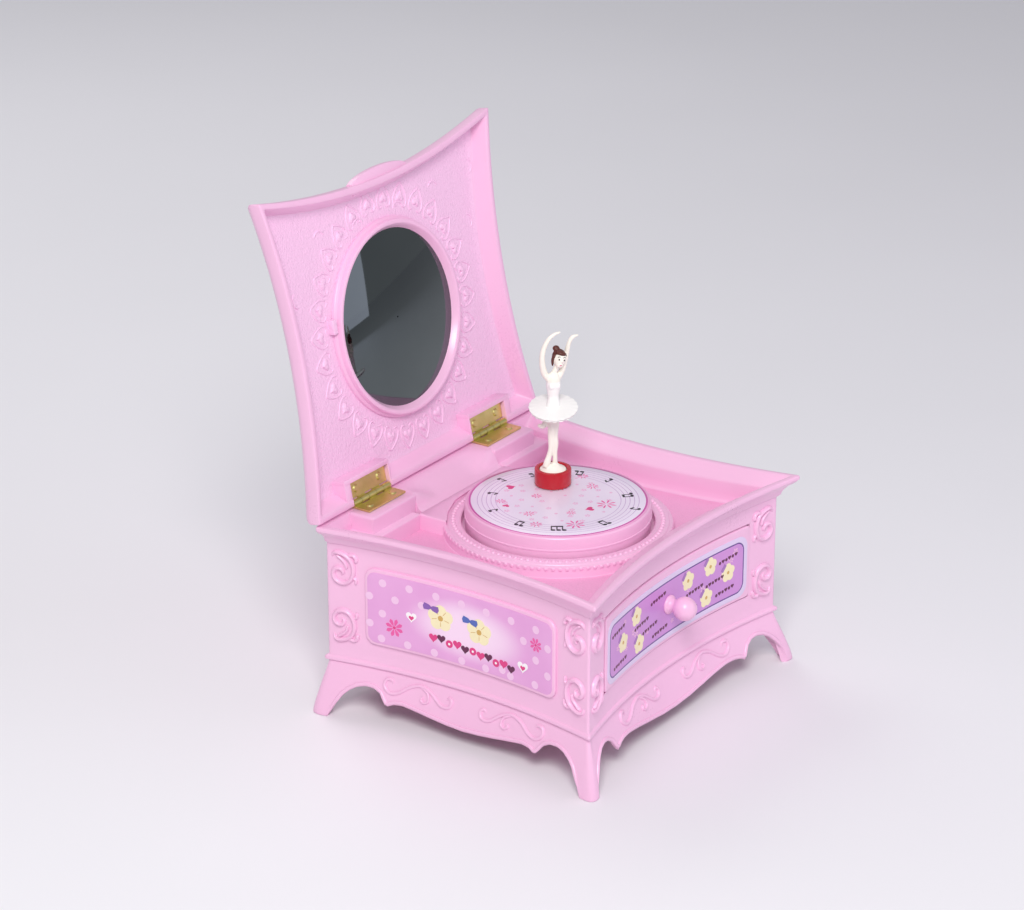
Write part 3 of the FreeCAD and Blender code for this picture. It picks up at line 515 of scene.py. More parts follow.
drawerFilmLook, stageFilmLook = drawerFilmFinish(), stageFilmFinish()
print("finishes: films and metals ready")

# case walls and where things lie on them

caseLook = {"wallInset": 6.9, "wall": 2.2, "low": 23.6, "top": 76.9, "openHalf": 56.5, "openLow": 35.5,
            "openHigh": 69.5}
splayTable = [(0, 8.2), (4, 7.2), (9, 5.5), (14, 3.6), (19, 1.6), (caseLook["low"], 0.0)]  # height, flare


def splay(z):
    z = min(max(z, 0), caseLook["low"])
    for (z0, s0), (z1, s1) in zip(splayTable, splayTable[1:]):
        if z <= z1:
            t = (z - z0) / (z1 - z0)
            return s0 + (s1 - s0) * t
    return 0


def wallSize(z, proud=0, corner=1.6):
    out = splay(z) if z < caseLook["low"] else 0
    return planSize(caseLook["wallInset"] - proud - out, back=-proud - out * 0.65, corner=corner + out * 0.5)


def wallPoint(side, a, z, proud=0):
    return mm(*onEdge(side, a, wallSize(z, proud)), z)


def wallNormal(side, a, z):
    da = wallPoint(side, a + 0.5, z) - wallPoint(side, a - 0.5, z)
    dz = wallPoint(side, a, z + 0.5) - wallPoint(side, a, z - 0.5)
    normal = da.cross(dz).normalized()
    away = {"front": (0, -1, 0), "back": (0, 1, 0), "left": (-1, 0, 0), "right": (1, 0, 0)}[side]
    return normal if normal.dot(Vector(away)) > 0 else -normal


def wallRidge(shell, side, line, width, height, taper=0.12):
    path = [wallPoint(side, a, z) for a, z in line]
    normals = [wallNormal(side, a, z) for a, z in line]
    shell.ridge(path, normals, width, height, taper)


# base frame with its four legs

baseLook = {
    # distance from the middle of a side and height of the lower edge
    "frontEdge": [(0, 7.0), (10, 7.4), (20, 8.5), (30, 9.9), (38, 10.9), (44, 10.9), (48, 10.0), (50, 9.0),
                  (51.0, 10.4), (53.0, 13.4), (56.2, 15.4), (60, 16.0), (64, 15.2), (67.4, 13.2), (70.2, 10.4),
                  (72.4, 7.2), (74.0, 3.8), (75.2, 0.0)],
    "sideEdge": [(0, 7.6), (8, 8.0), (16, 8.9), (24, 10.0), (30, 10.8), (34, 10.4), (37, 9.0), (38.2, 10.2),
                 (40.5, 13.2), (44, 14.9), (48, 15.2), (52, 14.2), (55.5, 12.0), (58, 9.6), (60, 6.4),
                 (61.8, 3.0), (63.4, 0.0)],
    "sideMiddle": 2.0, "thick": 2.4}


def lowerEdge(kind, a):
    table = baseLook["frontEdge"] if kind in ("front", "back") else baseLook["sideEdge"]
    d = abs(a) if kind in ("front", "back") else abs(a - baseLook["sideMiddle"])
    for (d0, z0), (d1, z1) in zip(table, table[1:]):
        if d <= d1:
            return z0 + (z1 - z0) * (d - d0) / (d1 - d0)
    return 0.0


def buildBase():
    frontMarks = marks(-75, 75, 1.0)
    sideMarks = marks(-61.4, 65.4, 1.0)
    spots = planSpots(frontMarks, sideMarks, ends=(0.3, 0.6, 1.0), rounds=(0.15, 0.3, 0.5, 0.7, 0.85))
    top, thick = caseLook["low"], baseLook["thick"]
    shares = (0.02, 0.06, 0.14, 0.26, 0.4, 0.55, 0.7, 0.84, 0.94, 1.0)  # of the way up the apron

    def ringAt(share, extra, lift):
        ring = []
        for spot in spots:
            along = isinstance(spot[0], str) and not spot[2]  # not in a corner
            edge = lowerEdge(spot[0], spot[1]) if along else 0.0
            z = edge + lift + (top - edge - lift) * share
            size = wallSize(min(z, top - 0.01), -extra, corner=2.0)
            ring.append(mm(*planPoint(spot, size), z))
        return ring

    outer = [ringAt(0, 0.7, 0), ringAt(0, 0.25, 0.12), ringAt(0, 0.04, 0.4)]
    outer += [ringAt(share, 0, 0.7) for share in shares]
    inner = [ringAt(share, thick, 0.7) for share in reversed(shares)]
    inner += [ringAt(0, thick - 0.05, 0.4), ringAt(0, thick - 0.3, 0.1), ringAt(0, thick - 0.7, 0)]
    shell = Shell()
    shell.rings(outer + inner, closed=True)
    # raised bead that follows each lower edge from foot to foot
    for side in ("front", "back", "left", "right"):
        centre = 0 if side in ("front", "back") else baseLook["sideMiddle"]
        reach = 74.0 if side in ("front", "back") else 62.2
        line = []
        steps = 150
        for k in range(steps + 1):
            a = centre - reach + 2 * reach * k / steps
            line.append((a, lowerEdge(side, a) + 1.2))
        wallRidge(shell, side, line, 1.8, 0.8, taper=0.02)
    # S scrolls, two on each side
    wave = smoothLine([(-13.6, -0.2), (-14.9, 0.9), (-16.4, -0.4), (-15.4, -2.9), (-11.5, -3.0), (-6, 0.9),
                       (-1, 2.7), (4, 1.2), (9, -2.4), (13, -3.2), (16.0, -0.8), (15.4, 2.2), (12.8, 2.3),
                       (12.3, 0.4)], 7)
    curl = smoothLine([(-0.6, 2.4), (-4.4, 0.4), (-5.4, -2.6), (-3.5, -4.0), (-1.8, -2.8), (-2.8, -1.6)], 6)
    long, short = ((-26, 26), 18.1), ((-21.6, 25.6), 17.9)
    for side, (middles, height) in (("front", long), ("back", long), ("left", short), ("right", short)):
        for number, centre in enumerate(middles):
            flip = 1 if number else -1
            for line, width in ((wave, 1.7), (curl, 1.3)):
                wallRidge(shell, side, [(centre + flip * u, height + v * 0.92) for u, v in line], width, 1.0)
    shell.make("baseFrame", "case", pinkPlastic, ["base_frame"], crease=50)


buildBase()
print("base frame with legs, edge beads and scrolls")


# case body

def spiral(cu, cv, r0, r1, a0, a1, steps=26):
    return [(cu + (r0 + (r1 - r0) * k / steps) * math.cos(math.radians(a0 + (a1 - a0) * k / steps)),
             cv + (r0 + (r1 - r0) * k / steps) * math.sin(math.radians(a0 + (a1 - a0) * k / steps)))
            for k in range(steps + 1)]


def cornerScroll(shell, side, centre, low, toward, up):
    # an acanthus scroll, 11 wide and 15 tall: a hooked leaf above a C that curls in on itself
    main = smoothLine([(-5.2, 4.6), (-4.6, 6.4), (-2.6, 7.0), (0.4, 6.2), (2.8, 4.4), (4.1, 1.4), (4.0, -2.0),
                       (2.4, -5.2), (-0.6, -6.6), (-3.6, -5.6), (-4.9, -2.8), (-3.7, -0.4), (-1.4, -0.2),
                       (-0.4, -1.9), (-1.6, -3.1)], 6)
    leaf = smoothLine([(1.2, 5.6), (3.8, 6.6), (5.4, 5.2), (5.2, 3.4)], 5)
    tuck = smoothLine([(-3.6, 5.8), (-1.6, 4.6), (0.6, 2.4), (1.2, -0.2)], 5)
    spur = smoothLine([(3.6, -3.4), (5.2, -4.4), (5.0, -6.4)], 5)
    for line, width, height in ((main, 2.1, 1.6), (leaf, 1.8, 1.3), (tuck, 1.5, 1.2), (spur, 1.5, 1.1)):
        wallRidge(shell, side, [(centre + toward * u, low + up * v) for u, v in line], width, height,
                  taper=0.14)


def buildCase():
    look = caseLook
    gap, openLow, openHigh = look["openHalf"], look["openLow"], look["openHigh"]
    spots = planSpots(marks(-68, 68, 4, -gap, gap), marks(-56, 62, 4), ends=(0.4, 0.75, 1.0))
    inset, wall, foot, top = look["wallInset"], look["wall"], look["low"], look["top"]
    profile = [(inset + wall, foot), (inset - 1.0, foot), (inset - 1.3, 23.85), (inset - 1.4, 24.3),
               (inset - 1.35, 24.8), (inset - 1.1, 25.2), (inset - 0.6, 25.5), (inset - 0.15, 25.75),
               (inset, 26.2), (inset, 30),
               (inset, openLow), (inset, 52), (inset, openHigh), (inset, 73), (inset, top), (inset + wall, top),
               (inset + wall, openHigh), (inset + wall, 52), (inset + wall, openLow)]
    rings = []
    for amount, z in profile:
        back = amount - inset
        rings.append(planRing(spots, planSize(amount, back=back, corner=1.5), z))
    low, high, innerHigh, innerLow = 10, 12, 16, 18  # rows of the profile at the drawer's opening
    columns = [k for k, s in enumerate(spots) if s[0] == "front" and not s[2] and abs(s[1]) <= gap + 0.1]
    first, last = columns[0], columns[-1]

    def atOpening(r, k):
        return first <= k < last and (low <= r < high or innerHigh <= r < innerLow)

    shell = Shell()
    shell.rings(rings, closed=True, skip=atOpening)
    points, faces = [], []

    def strip(lineA, lineB):
        start = len(points)
        points.extend(lineA + lineB)
        n = len(lineA)
        faces.extend([start + k, start + k + 1, start + n + k + 1, start + n + k] for k in range(n - 1))

    strip([rings[low][k] for k in columns], [rings[innerLow][k] for k in columns])
    strip([rings[high][k] for k in columns], [rings[innerHigh][k] for k in columns])
    for k in (first, last):
        strip([rings[r][k] for r in range(low, high + 1)],
              [rings[r][k] for r in range(innerLow, innerHigh - 1, -1)])
    shell.add(points, faces)
    for side, middles in (("front", (-64.4, 64.4)), ("left", (-53.6, 60.4)), ("right", (-53.6, 60.4))):
        for number, centre in enumerate(middles):
            toward = 1 if number == 0 else -1
            cornerScroll(shell, side, centre, 66.4, toward, 1)
            cornerScroll(shell, side, centre, 40.6, toward, -1)
    shell.make("caseBody", "case", pinkPlastic, ["case_body"], crease=40)


buildCase()
print("case body with corner scrolls")


# bowed plates: label panels, prints and the drawer front

def roundedLoop(halfA, halfZ, corner, steps=7, spacing=4.0):
    loop = []
    for sx, sz, a0 in ((1, 1, 0), (-1, 1, 90), (-1, -1, 180), (1, -1, 270)):
        for k in range(steps + 1):
            turn = math.radians(a0 + 90 * k / steps)
            loop.append((sx * (halfA - corner) + corner * math.cos(turn),
                         sz * (halfZ - corner) + corner * math.sin(turn)))
    out = []
    for p, q in zip(loop, loop[1:] + loop[:1]):
        pieces = max(1, round(math.dist(p, q) / spacing))
        out += [(p[0] + (q[0] - p[0]) * k / pieces, p[1] + (q[1] - p[1]) * k / pieces) for k in range(pieces)]
    return out


def bowedPlate(shell, side, centre, halfA, halfZ, corner, back, front, edge, steps=9):
    # centre is along and height; back and front are how proud of the wall its two faces stand
    loop = roundedLoop(halfA, halfZ, corner)

    def ring(shrink, proud, scale=1.0):
        return [wallPoint(side, centre[0] + a * (1 - shrink / halfA) * scale,
                          centre[1] + z * (1 - shrink / halfZ) * scale, proud) for a, z in loop]

    rings = [ring(0, back)]
    for k in range(5):
        turn = math.pi / 2 * k / 4
        rings.append(ring(edge * (1 - math.cos(turn)), front - edge * (1 - math.sin(turn))))
    rings += [ring(edge, front, 1 - k / steps) for k in range(1, steps)]
    rings.append(ring(edge, front, 0.02))
    reverse = [ring(0, back, 1 - k / steps) for k in range(1, steps)] + [ring(0, back, 0.02)]
    shell.rings(reverse[::-1] + rings, capFirst=True, capLast=True)


plateLook = {"middle": 3.6, "half": 47.2, "low": 34.5, "high": 69.2, "corner": 4.5, "proud": 1.5,
             "margin": 1.5, "film": 1.72}


def buildLabels():
    mid = (plateLook["low"] + plateLook["high"]) / 2
    halfZ = (plateLook["high"] - plateLook["low"]) / 2
    for side in ("left", "right"):
        panel = Shell()
        bowedPlate(panel, side, (plateLook["middle"], mid), plateLook["half"], halfZ,
                   plateLook["corner"], 0.0, plateLook["proud"], 0.8)
        panel.make(side + "LabelPanel", "case", pinkPlastic, [side + "_label_panel"], crease=50)
        film = Shell()
        margin, filmTop = plateLook["margin"], plateLook["film"]
        bowedPlate(film, side, (plateLook["middle"], mid), plateLook["half"] - margin, halfZ - margin, 3.6,
                   plateLook["proud"] - 0.05, filmTop, 0.08)
        film.make(side + "LabelFilm", "case", labelFilm, [side + "_label_print"], crease=50)


buildLabels()


def decal(shell, place, outline, lift=0.05):
    # flat printed shape: place maps two local sizes and a lift to a point on the surface
    count = len(outline)
    cu = sum(p[0] for p in outline) / count
    cv = sum(p[1] for p in outline) / count
    low = [place(u, v, lift - 0.1) for u, v in outline]
    high = [place(u, v, lift) for u, v in outline]
    points = low + high + [place(cu, cv, lift)]
    faces = [[k, (k + 1) % count, count + (k + 1) % count, count + k] for k in range(count)]
    faces += [[count + k, count + (k + 1) % count, 2 * count] for k in range(count)]
    faces.append(list(range(count))[::-1])
    shell.add(points, faces)


def circle(cu, cv, radius, steps=20):
    return [(cu + radius * math.cos(2 * math.pi * k / steps), cv + radius * math.sin(2 * math.pi * k / steps))
            for k in range(steps)]


def heart(cu, cv, width, turn=0.0, steps=28):
    out = []
    for k in range(steps):
        t = 2 * math.pi * k / steps
        u = 16 * math.sin(t) ** 3 / 32 * width
        v = (13 * math.cos(t) - 5 * math.cos(2 * t) - 2 * math.cos(3 * t) - math.cos(4 * t) + 2.5) / 32 * width
        out.append((cu + u * math.cos(turn) - v * math.sin(turn), cv + u * math.sin(turn) + v * math.cos(turn)))
    return out


def petals(cu, cv, radius, count=8, turn=0.3, wide=0.2):
    # separate slim petals round a point
    shapes = []
    for k in range(count):
        a = turn + 2 * math.pi * k / count
        line = [(0.14, 0.0), (0.45, wide * 0.7), (0.78, wide), (1.0, 0.0), (0.78, -wide), (0.45, -wide * 0.7)]
        shapes.append([(cu + radius * (p * math.cos(a) - q * math.sin(a)),
                        cv + radius * (p * math.sin(a) + q * math.cos(a))) for p, q in line])
    return shapes


def bar(u0, v0, u1, v1, thick):
    length = math.hypot(u1 - u0, v1 - v0)
    nu, nv = -(v1 - v0) / length * thick / 2, (u1 - u0) / length * thick / 2
    return [(u0 + nu, v0 + nv), (u0 - nu, v0 - nv), (u1 - nu, v1 - nv), (u1 + nu, v1 + nv)]


labelMotifs = {
    "dots": [(42.2, 63.7), (29.8, 63.7), (17.0, 63.4), (4.5, 63.2), (-7.9, 62.9), (-20.6, 62.9), (-33.5, 62.9),
             (48.4, 56.9), (36.5, 57.2), (42.5, 49.9), (48.4, 44.6), (-39.8, 56.5), (-39.8, 44.4),
             (-33.5, 49.4),
             (43.1, 38.4), (30.8, 38.1), (18.0, 37.8), (4.5, 37.7), (-7.5, 37.7), (-20.2, 38.0), (-33.1, 38.3),
             (24.0, 57.6), (-27.0, 56.0), (-16.0, 39.6)],
    "flowers": [(37.0, 44.6, 4.2), (-33.5, 56.2, 3.2)],
    "hearts": [(28.9, 50.7, 2.4), (-26.7, 43.5, 2.6)],
    "bunches": [(14.8, 54.2, "purple"), (-4.3, 53.0, "blue")]}
bowLoop = [(-2.0, 0.4), (-1.0, 1.1), (1.4, 1.5), (2.0, 0.0), (1.4, -1.5), (-1.0, -1.1), (-2.0, -0.4)]


def buildLabelPrints():
    for side, flip in (("left", 1), ("right", -1)):
        def place(u, v, lift):
            return wallPoint(side, plateLook["middle"] + (u - plateLook["middle"]) * flip, v,
                             plateLook["film"] + lift)

        layers = {name: Shell()
                  for name in ("dots", "flower", "heart", "cream", "purple", "blue", "dark", "white", "gold")}
        for u, v in labelMotifs["dots"]:
            decal(layers["dots"], place, circle(u, v, 1.75))
        for u, v, radius in labelMotifs["flowers"]:
            for shape in petals(u, v, radius):
                decal(layers["flower"], place, shape, 0.08)
            decal(layers["heart"], place, circle(u, v, radius * 0.16, 10), 0.1)
        for u, v, width in labelMotifs["hearts"]:
            decal(layers["white"], place, heart(u, v + 0.3, width * 2.1), 0.06)
            decal(layers["heart"], place, heart(u, v, width), 0.1)
        for u, v, bow in labelMotifs["bunches"]:
            # a cream blossom of five round petals with a bow on its upper corner
            for k in range(5):
                a = math.radians(90 + 72 * k)
                petal = circle(u + 3.3 * math.cos(a), v + 2.9 * math.sin(a), 2.9)
                decal(layers["cream"], place, petal, 0.05 + 0.01 * k)
            decal(layers["cream"], place, circle(u, v, 2.8), 0.12)
            decal(layers["gold"], place, circle(u, v - 0.1, 1.25, 14), 0.15)
            for k in range(5):
                a = math.radians(126 + 72 * k)
                c, s = math.cos(a), math.sin(a)
                decal(layers["gold"], place, bar(u + 1.9 * c, v + 1.7 * s, u + 4.4 * c, v + 3.8 * s, 0.22),
                      0.14)
            for turn in (0.85, 0.85 + math.pi):
                c, s = math.cos(turn + 2.4), math.sin(turn + 2.4)
                cu, cv = u + 4.6 + 1.9 * c, v + 3.6 + 1.9 * s
                loop = [(cu + p * c - q * s, cv + p * s + q * c) for p, q in bowLoop]
                decal(layers[bow], place, loop, 0.17)
        # a garland of small hearts and dots under the blossoms
        for k in range(11):
            u = 18.4 - 3.9 * k
            v = 44.6 - 0.33 * k + (0.5 if k % 2 else -0.3)
            if k % 3 == 1:
                decal(layers["dark"], place, heart(u, v, 4.0), 0.1)
            elif k % 3 == 2:
                decal(layers["heart"], place, circle(u, v, 1.7), 0.1)
                decal(layers["white"], place, circle(u, v, 0.55, 10), 0.14)
            else:
                decal(layers["heart"], place, heart(u, v, 4.2), 0.1)
        for name, shell in layers.items():
            shell.make(f"{side}Label{capital(name)}", "case", inks[name], slot="label_print", crease=30)


buildLabelPrints()
print("label panels and prints")

# drawer

drawerLook = {"half": 56.0, "low": 36.0, "high": 69.0, "corner": 1.6, "proud": 0.8, "thick": 2.4,
              "filmHalf": 54.3, "filmHalfZ": 14.1, "filmMiddle": 51.6, "filmTop": 1.02, "knobZ": 52.5}
drawerMotifs = {
    "blossoms": [(-27.1, 58.0), (-39.2, 51.4), (-24.5, 44.6), (14.2, 57.8), (42.1, 51.7), (27.5, 45.2),
                 (30.0, 58.6)],
    "dashes": [(-44.0, 58.4), (-8.9, 58.4), (-22.8, 52.6), (18.9, 51.6), (-15.6, 48.0), (33.0, 50.6),
               (-42.0, 43.4),
               (-7.3, 43.2), (14.8, 43.4), (41.8, 58.2), (39.8, 44.0)]}


def buildDrawer():
    front = Shell()
    mid = (drawerLook["low"] + drawerLook["high"]) / 2
    halfZ = (drawerLook["high"] - drawerLook["low"]) / 2
    proud = drawerLook["proud"]
    bowedPlate(front, "front", (0, mid), drawerLook["half"], halfZ, drawerLook["corner"],
               proud - drawerLook["thick"], proud, 0.6)
    front.make("drawerFront", "drawer", pinkPlastic, ["drawer_front"], crease=50)
    film = Shell()
    bowedPlate(film, "front", (0, drawerLook["filmMiddle"]), drawerLook["filmHalf"], drawerLook["filmHalfZ"],
               5.4,
               proud - 0.05, drawerLook["filmTop"], 0.06)
    film.make("drawerFilm", "drawer", drawerFilmLook, ["drawer_print"], crease=50)

    def place(u, v, lift):
        return wallPoint("front", u, v, drawerLook["filmTop"] + lift)

    layers = {name: Shell() for name in ("cream", "dark", "lilac", "white", "gold")}
    for u, v in drawerMotifs["blossoms"]:
        for k in range(5):
            a = math.radians(90 + 72 * k)
            petal = circle(u + 2.3 * math.cos(a), v + 2.3 * math.sin(a), 2.0, 14)
            decal(layers["cream"], place, petal, 0.05 + 0.008 * k)
        decal(layers["cream"], place, circle(u, v, 2.1, 14), 0.1)
        decal(layers["gold"], place, circle(u, v, 0.8, 12), 0.13)
        decal(layers["lilac"], place, bar(u - 4.2, v + 1.5, u - 1.8, v + 4.2, 1.7), 0.14)
    for u, v in drawerMotifs["dashes"]:
        for k in range(6):
            du = (k - 2.5) * 2.1
            at = (u + du, v + 0.08 * du)
            decal(layers["dark"], place, heart(*at, 2.0) if k % 2 else circle(*at, 0.75, 10), 0.08)
    for k in range(26):
        u, v = random.uniform(-47, 47), random.uniform(43.2, 60)
        if math.hypot(u, v - drawerLook["knobZ"]) > 7:
            for shape in petals(u, v, random.uniform(1.0, 1.8), 5, random.uniform(0, 3), 0.28):
                decal(layers["white"], place, shape, 0.04)
    for name, shell in layers.items():
        shell.make(f"drawerPrint{capital(name)}", "drawer",
                   inks["paleFlower"] if name == "white" else inks[name], slot="drawer_print", crease=30)
    # round knob with its flange and waist, turned about an axis along Y
    knob = Shell()
    face = boxLook["depth"] - caseLook["wallInset"] - boxLook["frontBow"] + proud
    profile = [(0.0, 0.0), (3.9, 0.0), (4.1, 0.3), (4.1, 0.9), (3.8, 1.3), (3.2, 1.7), (2.9, 2.4), (2.85, 3.2)]
    ball, reach = 5.1, 7.9
    for k in range(16):
        turn = math.radians(36 + 144 * k / 15)
        profile.append((ball * math.sin(turn), reach - ball * math.cos(turn)))
    turns = [2 * math.pi * k / 40 for k in range(40)]
    rings = [[mm(max(r, 0.02) * math.cos(t), -face - h, drawerLook["knobZ"] + max(r, 0.02) * math.sin(t))
              for t in turns] for r, h in profile]
    knob.rings(rings, capFirst=True, capLast=True)
    knob.make("drawerKnob", "drawer", pinkPlastic, ["drawer_knob"], crease=60)


buildDrawer()
print("drawer front, film and knob")


# tray, rim and stage ring

trayLook = {"floor": 72.0, "under": 69.8, "ringOuter": 48.0, "ringTop": 77.6, "hole": 33.0, "beads": 104,
            "topBeads": 44.0, "padInner": 28.6, "padOuter": 59.5, "padFront": 54.0, "shelf": 79.0}


def buildTray():
    spots = planSpots(marks(-62, 62, 4), marks(-46, 60, 4), ends=(0.35, 0.7, 1.0))
    look = trayLook
    floor, under, ringOuter, hole = look["floor"], look["under"], look["ringOuter"], look["hole"]
    cornice = [(6.5, 77.0), (6.1, 77.3), (5.6, 78.0), (5.3, 79.2), (4.6, 80.3), (3.4, 81.6), (1.8, 82.6),
               (0.9, 83.3),
               (0.5, 83.9), (0.05, 84.2), (0.0, 84.6), (0.0, 85.4), (0.2, 85.8), (0.6, 86.0), (1.9, 86.0),
               (2.9, 86.0)]
    inside = [(3.4, 85.8), (4.0, 85.3), (7.6, 83.2), (10.0, 82.0), (10.7, 81.5), (11.0, 80.8), (11.0, 76.0),
              (11.1, 73.2), (11.5, 72.4), (12.2, 72.05), (13.0, floor)]

    def backInset(inset):
        return 2.4 + (inset - 2.8) * 0.16

    rings = [planRing(spots, planSize(inset, corner=1.2 if inset < 6 else 2.2), z) for inset, z in cornice]
    rings += [planRing(spots, planSize(inset, back=backInset(inset), corner=1.2 if inset < 6 else 2.2), z)
              for inset, z in inside]
    shell = Shell()
    shell.rings(rings)
    # floor runs in to the stage ring; its slot takes the darker pink that paints shade on the recessed tray
    # floor
    base = [planPoint(s, planSize(13.0, back=backInset(13.0), corner=2.2)) for s in spots]
    centre = (0.0, 2.0)
    floorRings = []
    for k in range(9):
        t = k / 8
        ring = []
        for x, y in base:
            a = math.atan2(y - centre[1], x - centre[0])
            cx, cy = centre[0] + (ringOuter + 0.3) * math.cos(a), centre[1] + (ringOuter + 0.3) * math.sin(a)
            ring.append(mm(x + (cx - x) * t, y + (cy - y) * t, floor))
        floorRings.append(ring)
    shell.rings(floorRings, slot=1)
    angles = [math.atan2(y - centre[1], x - centre[0]) for x, y in base]

    def roundRing(radius, z):
        return [mm(centre[0] + radius * math.cos(a), centre[1] + radius * math.sin(a), z) for a in angles]

    wallProfile = [(ringOuter + 0.3, floor), (48.05, 72.2), (ringOuter, 72.6), (ringOuter, 76.2), (47.9, 76.7),
                   (47.5, 76.95), (46.9, 77.0), (46.7, 77.15), (46.6, 77.4), (46.2, look["ringTop"]),
                   (41.4, look["ringTop"]), (40.9, 77.5), (40.6, 77.2), (40.6, 73.9), (hole, 73.9),
                   (hole, under)]
    shell.rings([roundRing(r, z) for r, z in wallProfile])
    below = [roundRing(hole, under)]
    outerUnder = [planPoint(s, planSize(9.5, back=2.6, corner=2.2)) for s in spots]
    for t in (0.5, 1.0):
        ring = []
        for (x, y), a in zip(outerUnder, angles):
            cx, cy = centre[0] + hole * math.cos(a), centre[1] + hole * math.sin(a)
            ring.append(mm(cx + (x - cx) * t, cy + (y - cy) * t, under))
        below.append(ring)
    below.append([mm(x, y, caseLook["top"]) for x, y in outerUnder])
    below.append(rings[0])
    shell.rings(below)
    # beads round the ring
    for k in range(look["beads"]):
        a = 2 * math.pi * k / look["beads"]
        c, s = math.cos(a), math.sin(a)
        top, side = look["topBeads"], ringOuter - 0.05
        shell.dome(mm(top * c, centre[1] + top * s, look["ringTop"]), Vector((0, 0, 1)), 1.05, 0.8, steps=8)
        shell.dome(mm(side * c, centre[1] + side * s, 75.9), Vector((c, s, 0)), 1.0, 0.55, steps=8)
    shell.make("tray", "case", [pinkPlastic, pinkFloorShaded], ["tray"], crease=42)


def ease(t):
    t = min(max(t, 0), 1)
    return t * t * (3 - 2 * t)


def softBlock(shell, corners, low, high, bend=1.0, place=mm, rise=1):
    # a block with a plan polygon and a rounded edge at its high face
    cx = sum(c[0] for c in corners) / len(corners)
    cy = sum(c[1] for c in corners) / len(corners)
    outline = []
    for k, here in enumerate(corners):
        p, n = corners[k - 1], corners[(k + 1) % len(corners)]
        d0, d1 = math.dist(p, here), math.dist(n, here)
        a = (here[0] + (p[0] - here[0]) * bend / d0, here[1] + (p[1] - here[1]) * bend / d0)
        b = (here[0] + (n[0] - here[0]) * bend / d1, here[1] + (n[1] - here[1]) * bend / d1)
        for t in (0, 0.5, 1):
            outline.append(tuple((1 - t) ** 2 * a[i] + 2 * t * (1 - t) * here[i] + t * t * b[i] for i in (0,
                                                                                                          1)))

    def ring(shrink, z):
        shares = [1 - shrink / math.hypot(x - cx, y - cy) for x, y in outline]
        return [place(cx + (x - cx) * f, cy + (y - cy) * f, z) for (x, y), f in zip(outline, shares)]

    rings = [ring(0, low)]
    for k in range(4):
        turn = math.pi / 2 * k / 3
        rings.append(ring(bend * (1 - math.cos(turn)), high - rise * (bend * (1 - math.sin(turn)))))
    shell.rings(rings, capFirst=True, capLast=True)


def buildDeck():
    look = trayLook
    floor = look["floor"]
    shell = Shell()
    # a low shelf across the back, carried forward to the stage ring in the middle
    left = [(-68.4, 66.6), (-66.6, 50.2), (-31, 50.2), (-31, 66.6)]
    right = [(31, 66.6), (31, 50.2), (66.6, 50.2), (68.4, 66.6)]
    for corners in (left, right):
        softBlock(shell, corners, floor - 0.1, look["shelf"], 0.9)
    bridge = [(-31.6, 37.0), (-24, 42.0), (-12, 47.0), (0, 48.6), (12, 47.0), (24, 42.0), (31.6, 37.0),
              (31.6, 51),
              (-31.6, 51)]
    softBlock(shell, bridge, floor - 0.1, look["shelf"] - 0.1, 0.7)
    for sx in (-1, 1):
        inner, outer, front, back = look["padInner"], look["padOuter"], look["padFront"], 66.6
        corners = [(sx * inner, front), (sx * outer, front), (sx * (outer + 0.6), back), (sx * inner, back)]
        softBlock(shell, corners, floor - 0.1, 86.0, 1.2)
    # between the pads the rim dips to the shelf in a soft scoop
    inner = look["padInner"] + 0.8
    profile = [(66.6, floor), (66.6, 85.9), (65.3, 85.7), (64.0, 85.3), (62.7, 84.8), (61.4, 84.2),
               (60.0, 83.4),
               (58.6, 82.5), (57.3, 81.6), (56.0, 80.9), (54.8, 80.3), (53.6, 79.8), (52.6, 79.5), (51.8, 79.3),
               (50.8, 78.9), (50.6, 78.0), (50.6, 74.5), (50.6, floor)]
    rings = []
    for k in range(37):
        x = -inner + 2 * inner * k / 36
        near = ease((abs(x) - 12) / (inner - 12))  # rises toward the pads
        rings.append([mm(x, y, z + (85.95 - z) * near * ease((y - 52.2) / 3.6) if y < 66 else z)
                      for y, z in profile])
    shell.rings(rings, capFirst=True, capLast=True)
    shell.make("backDeck", "case", pinkPlastic, slot="pink_plastic", crease=40)


buildTray()
buildDeck()
print("tray, stage ring and back deck")


# stage cap and its print

stageLook = {
    # distance from the middle, angle in degrees, and how many notes or how wide
    "notes": [(28.4, 111, 1), (31.8, 83, 1), (29.5, 147, 1), (29.7, 182, 2), (29.9, 214, 3), (30.5, 253, 2),
              (33.5, 288, 1), (29.9, 314, 2), (30.0, 348, 1), (30.2, 17, 2), (28.3, 57, 1)],
    "flowers": [(19.1, 174, 2.6), (27, 194, 2.8), (26.3, 229, 4.2), (20.5, 291, 4.4), (20.2, 348, 2.8),
                (27.1, 11, 2.6), (9.8, 101, 2.4), (12.5, 30, 3.0), (24.0, 128, 2.4), (14.5, 235, 2.2)],
    "hearts": [(23.7, 90, 4.2), (16, 267, 4.0), (22.5, 140, 3.0)],
    "noteStep": 2.3, "film": 86.05, "sprinkle": 44}


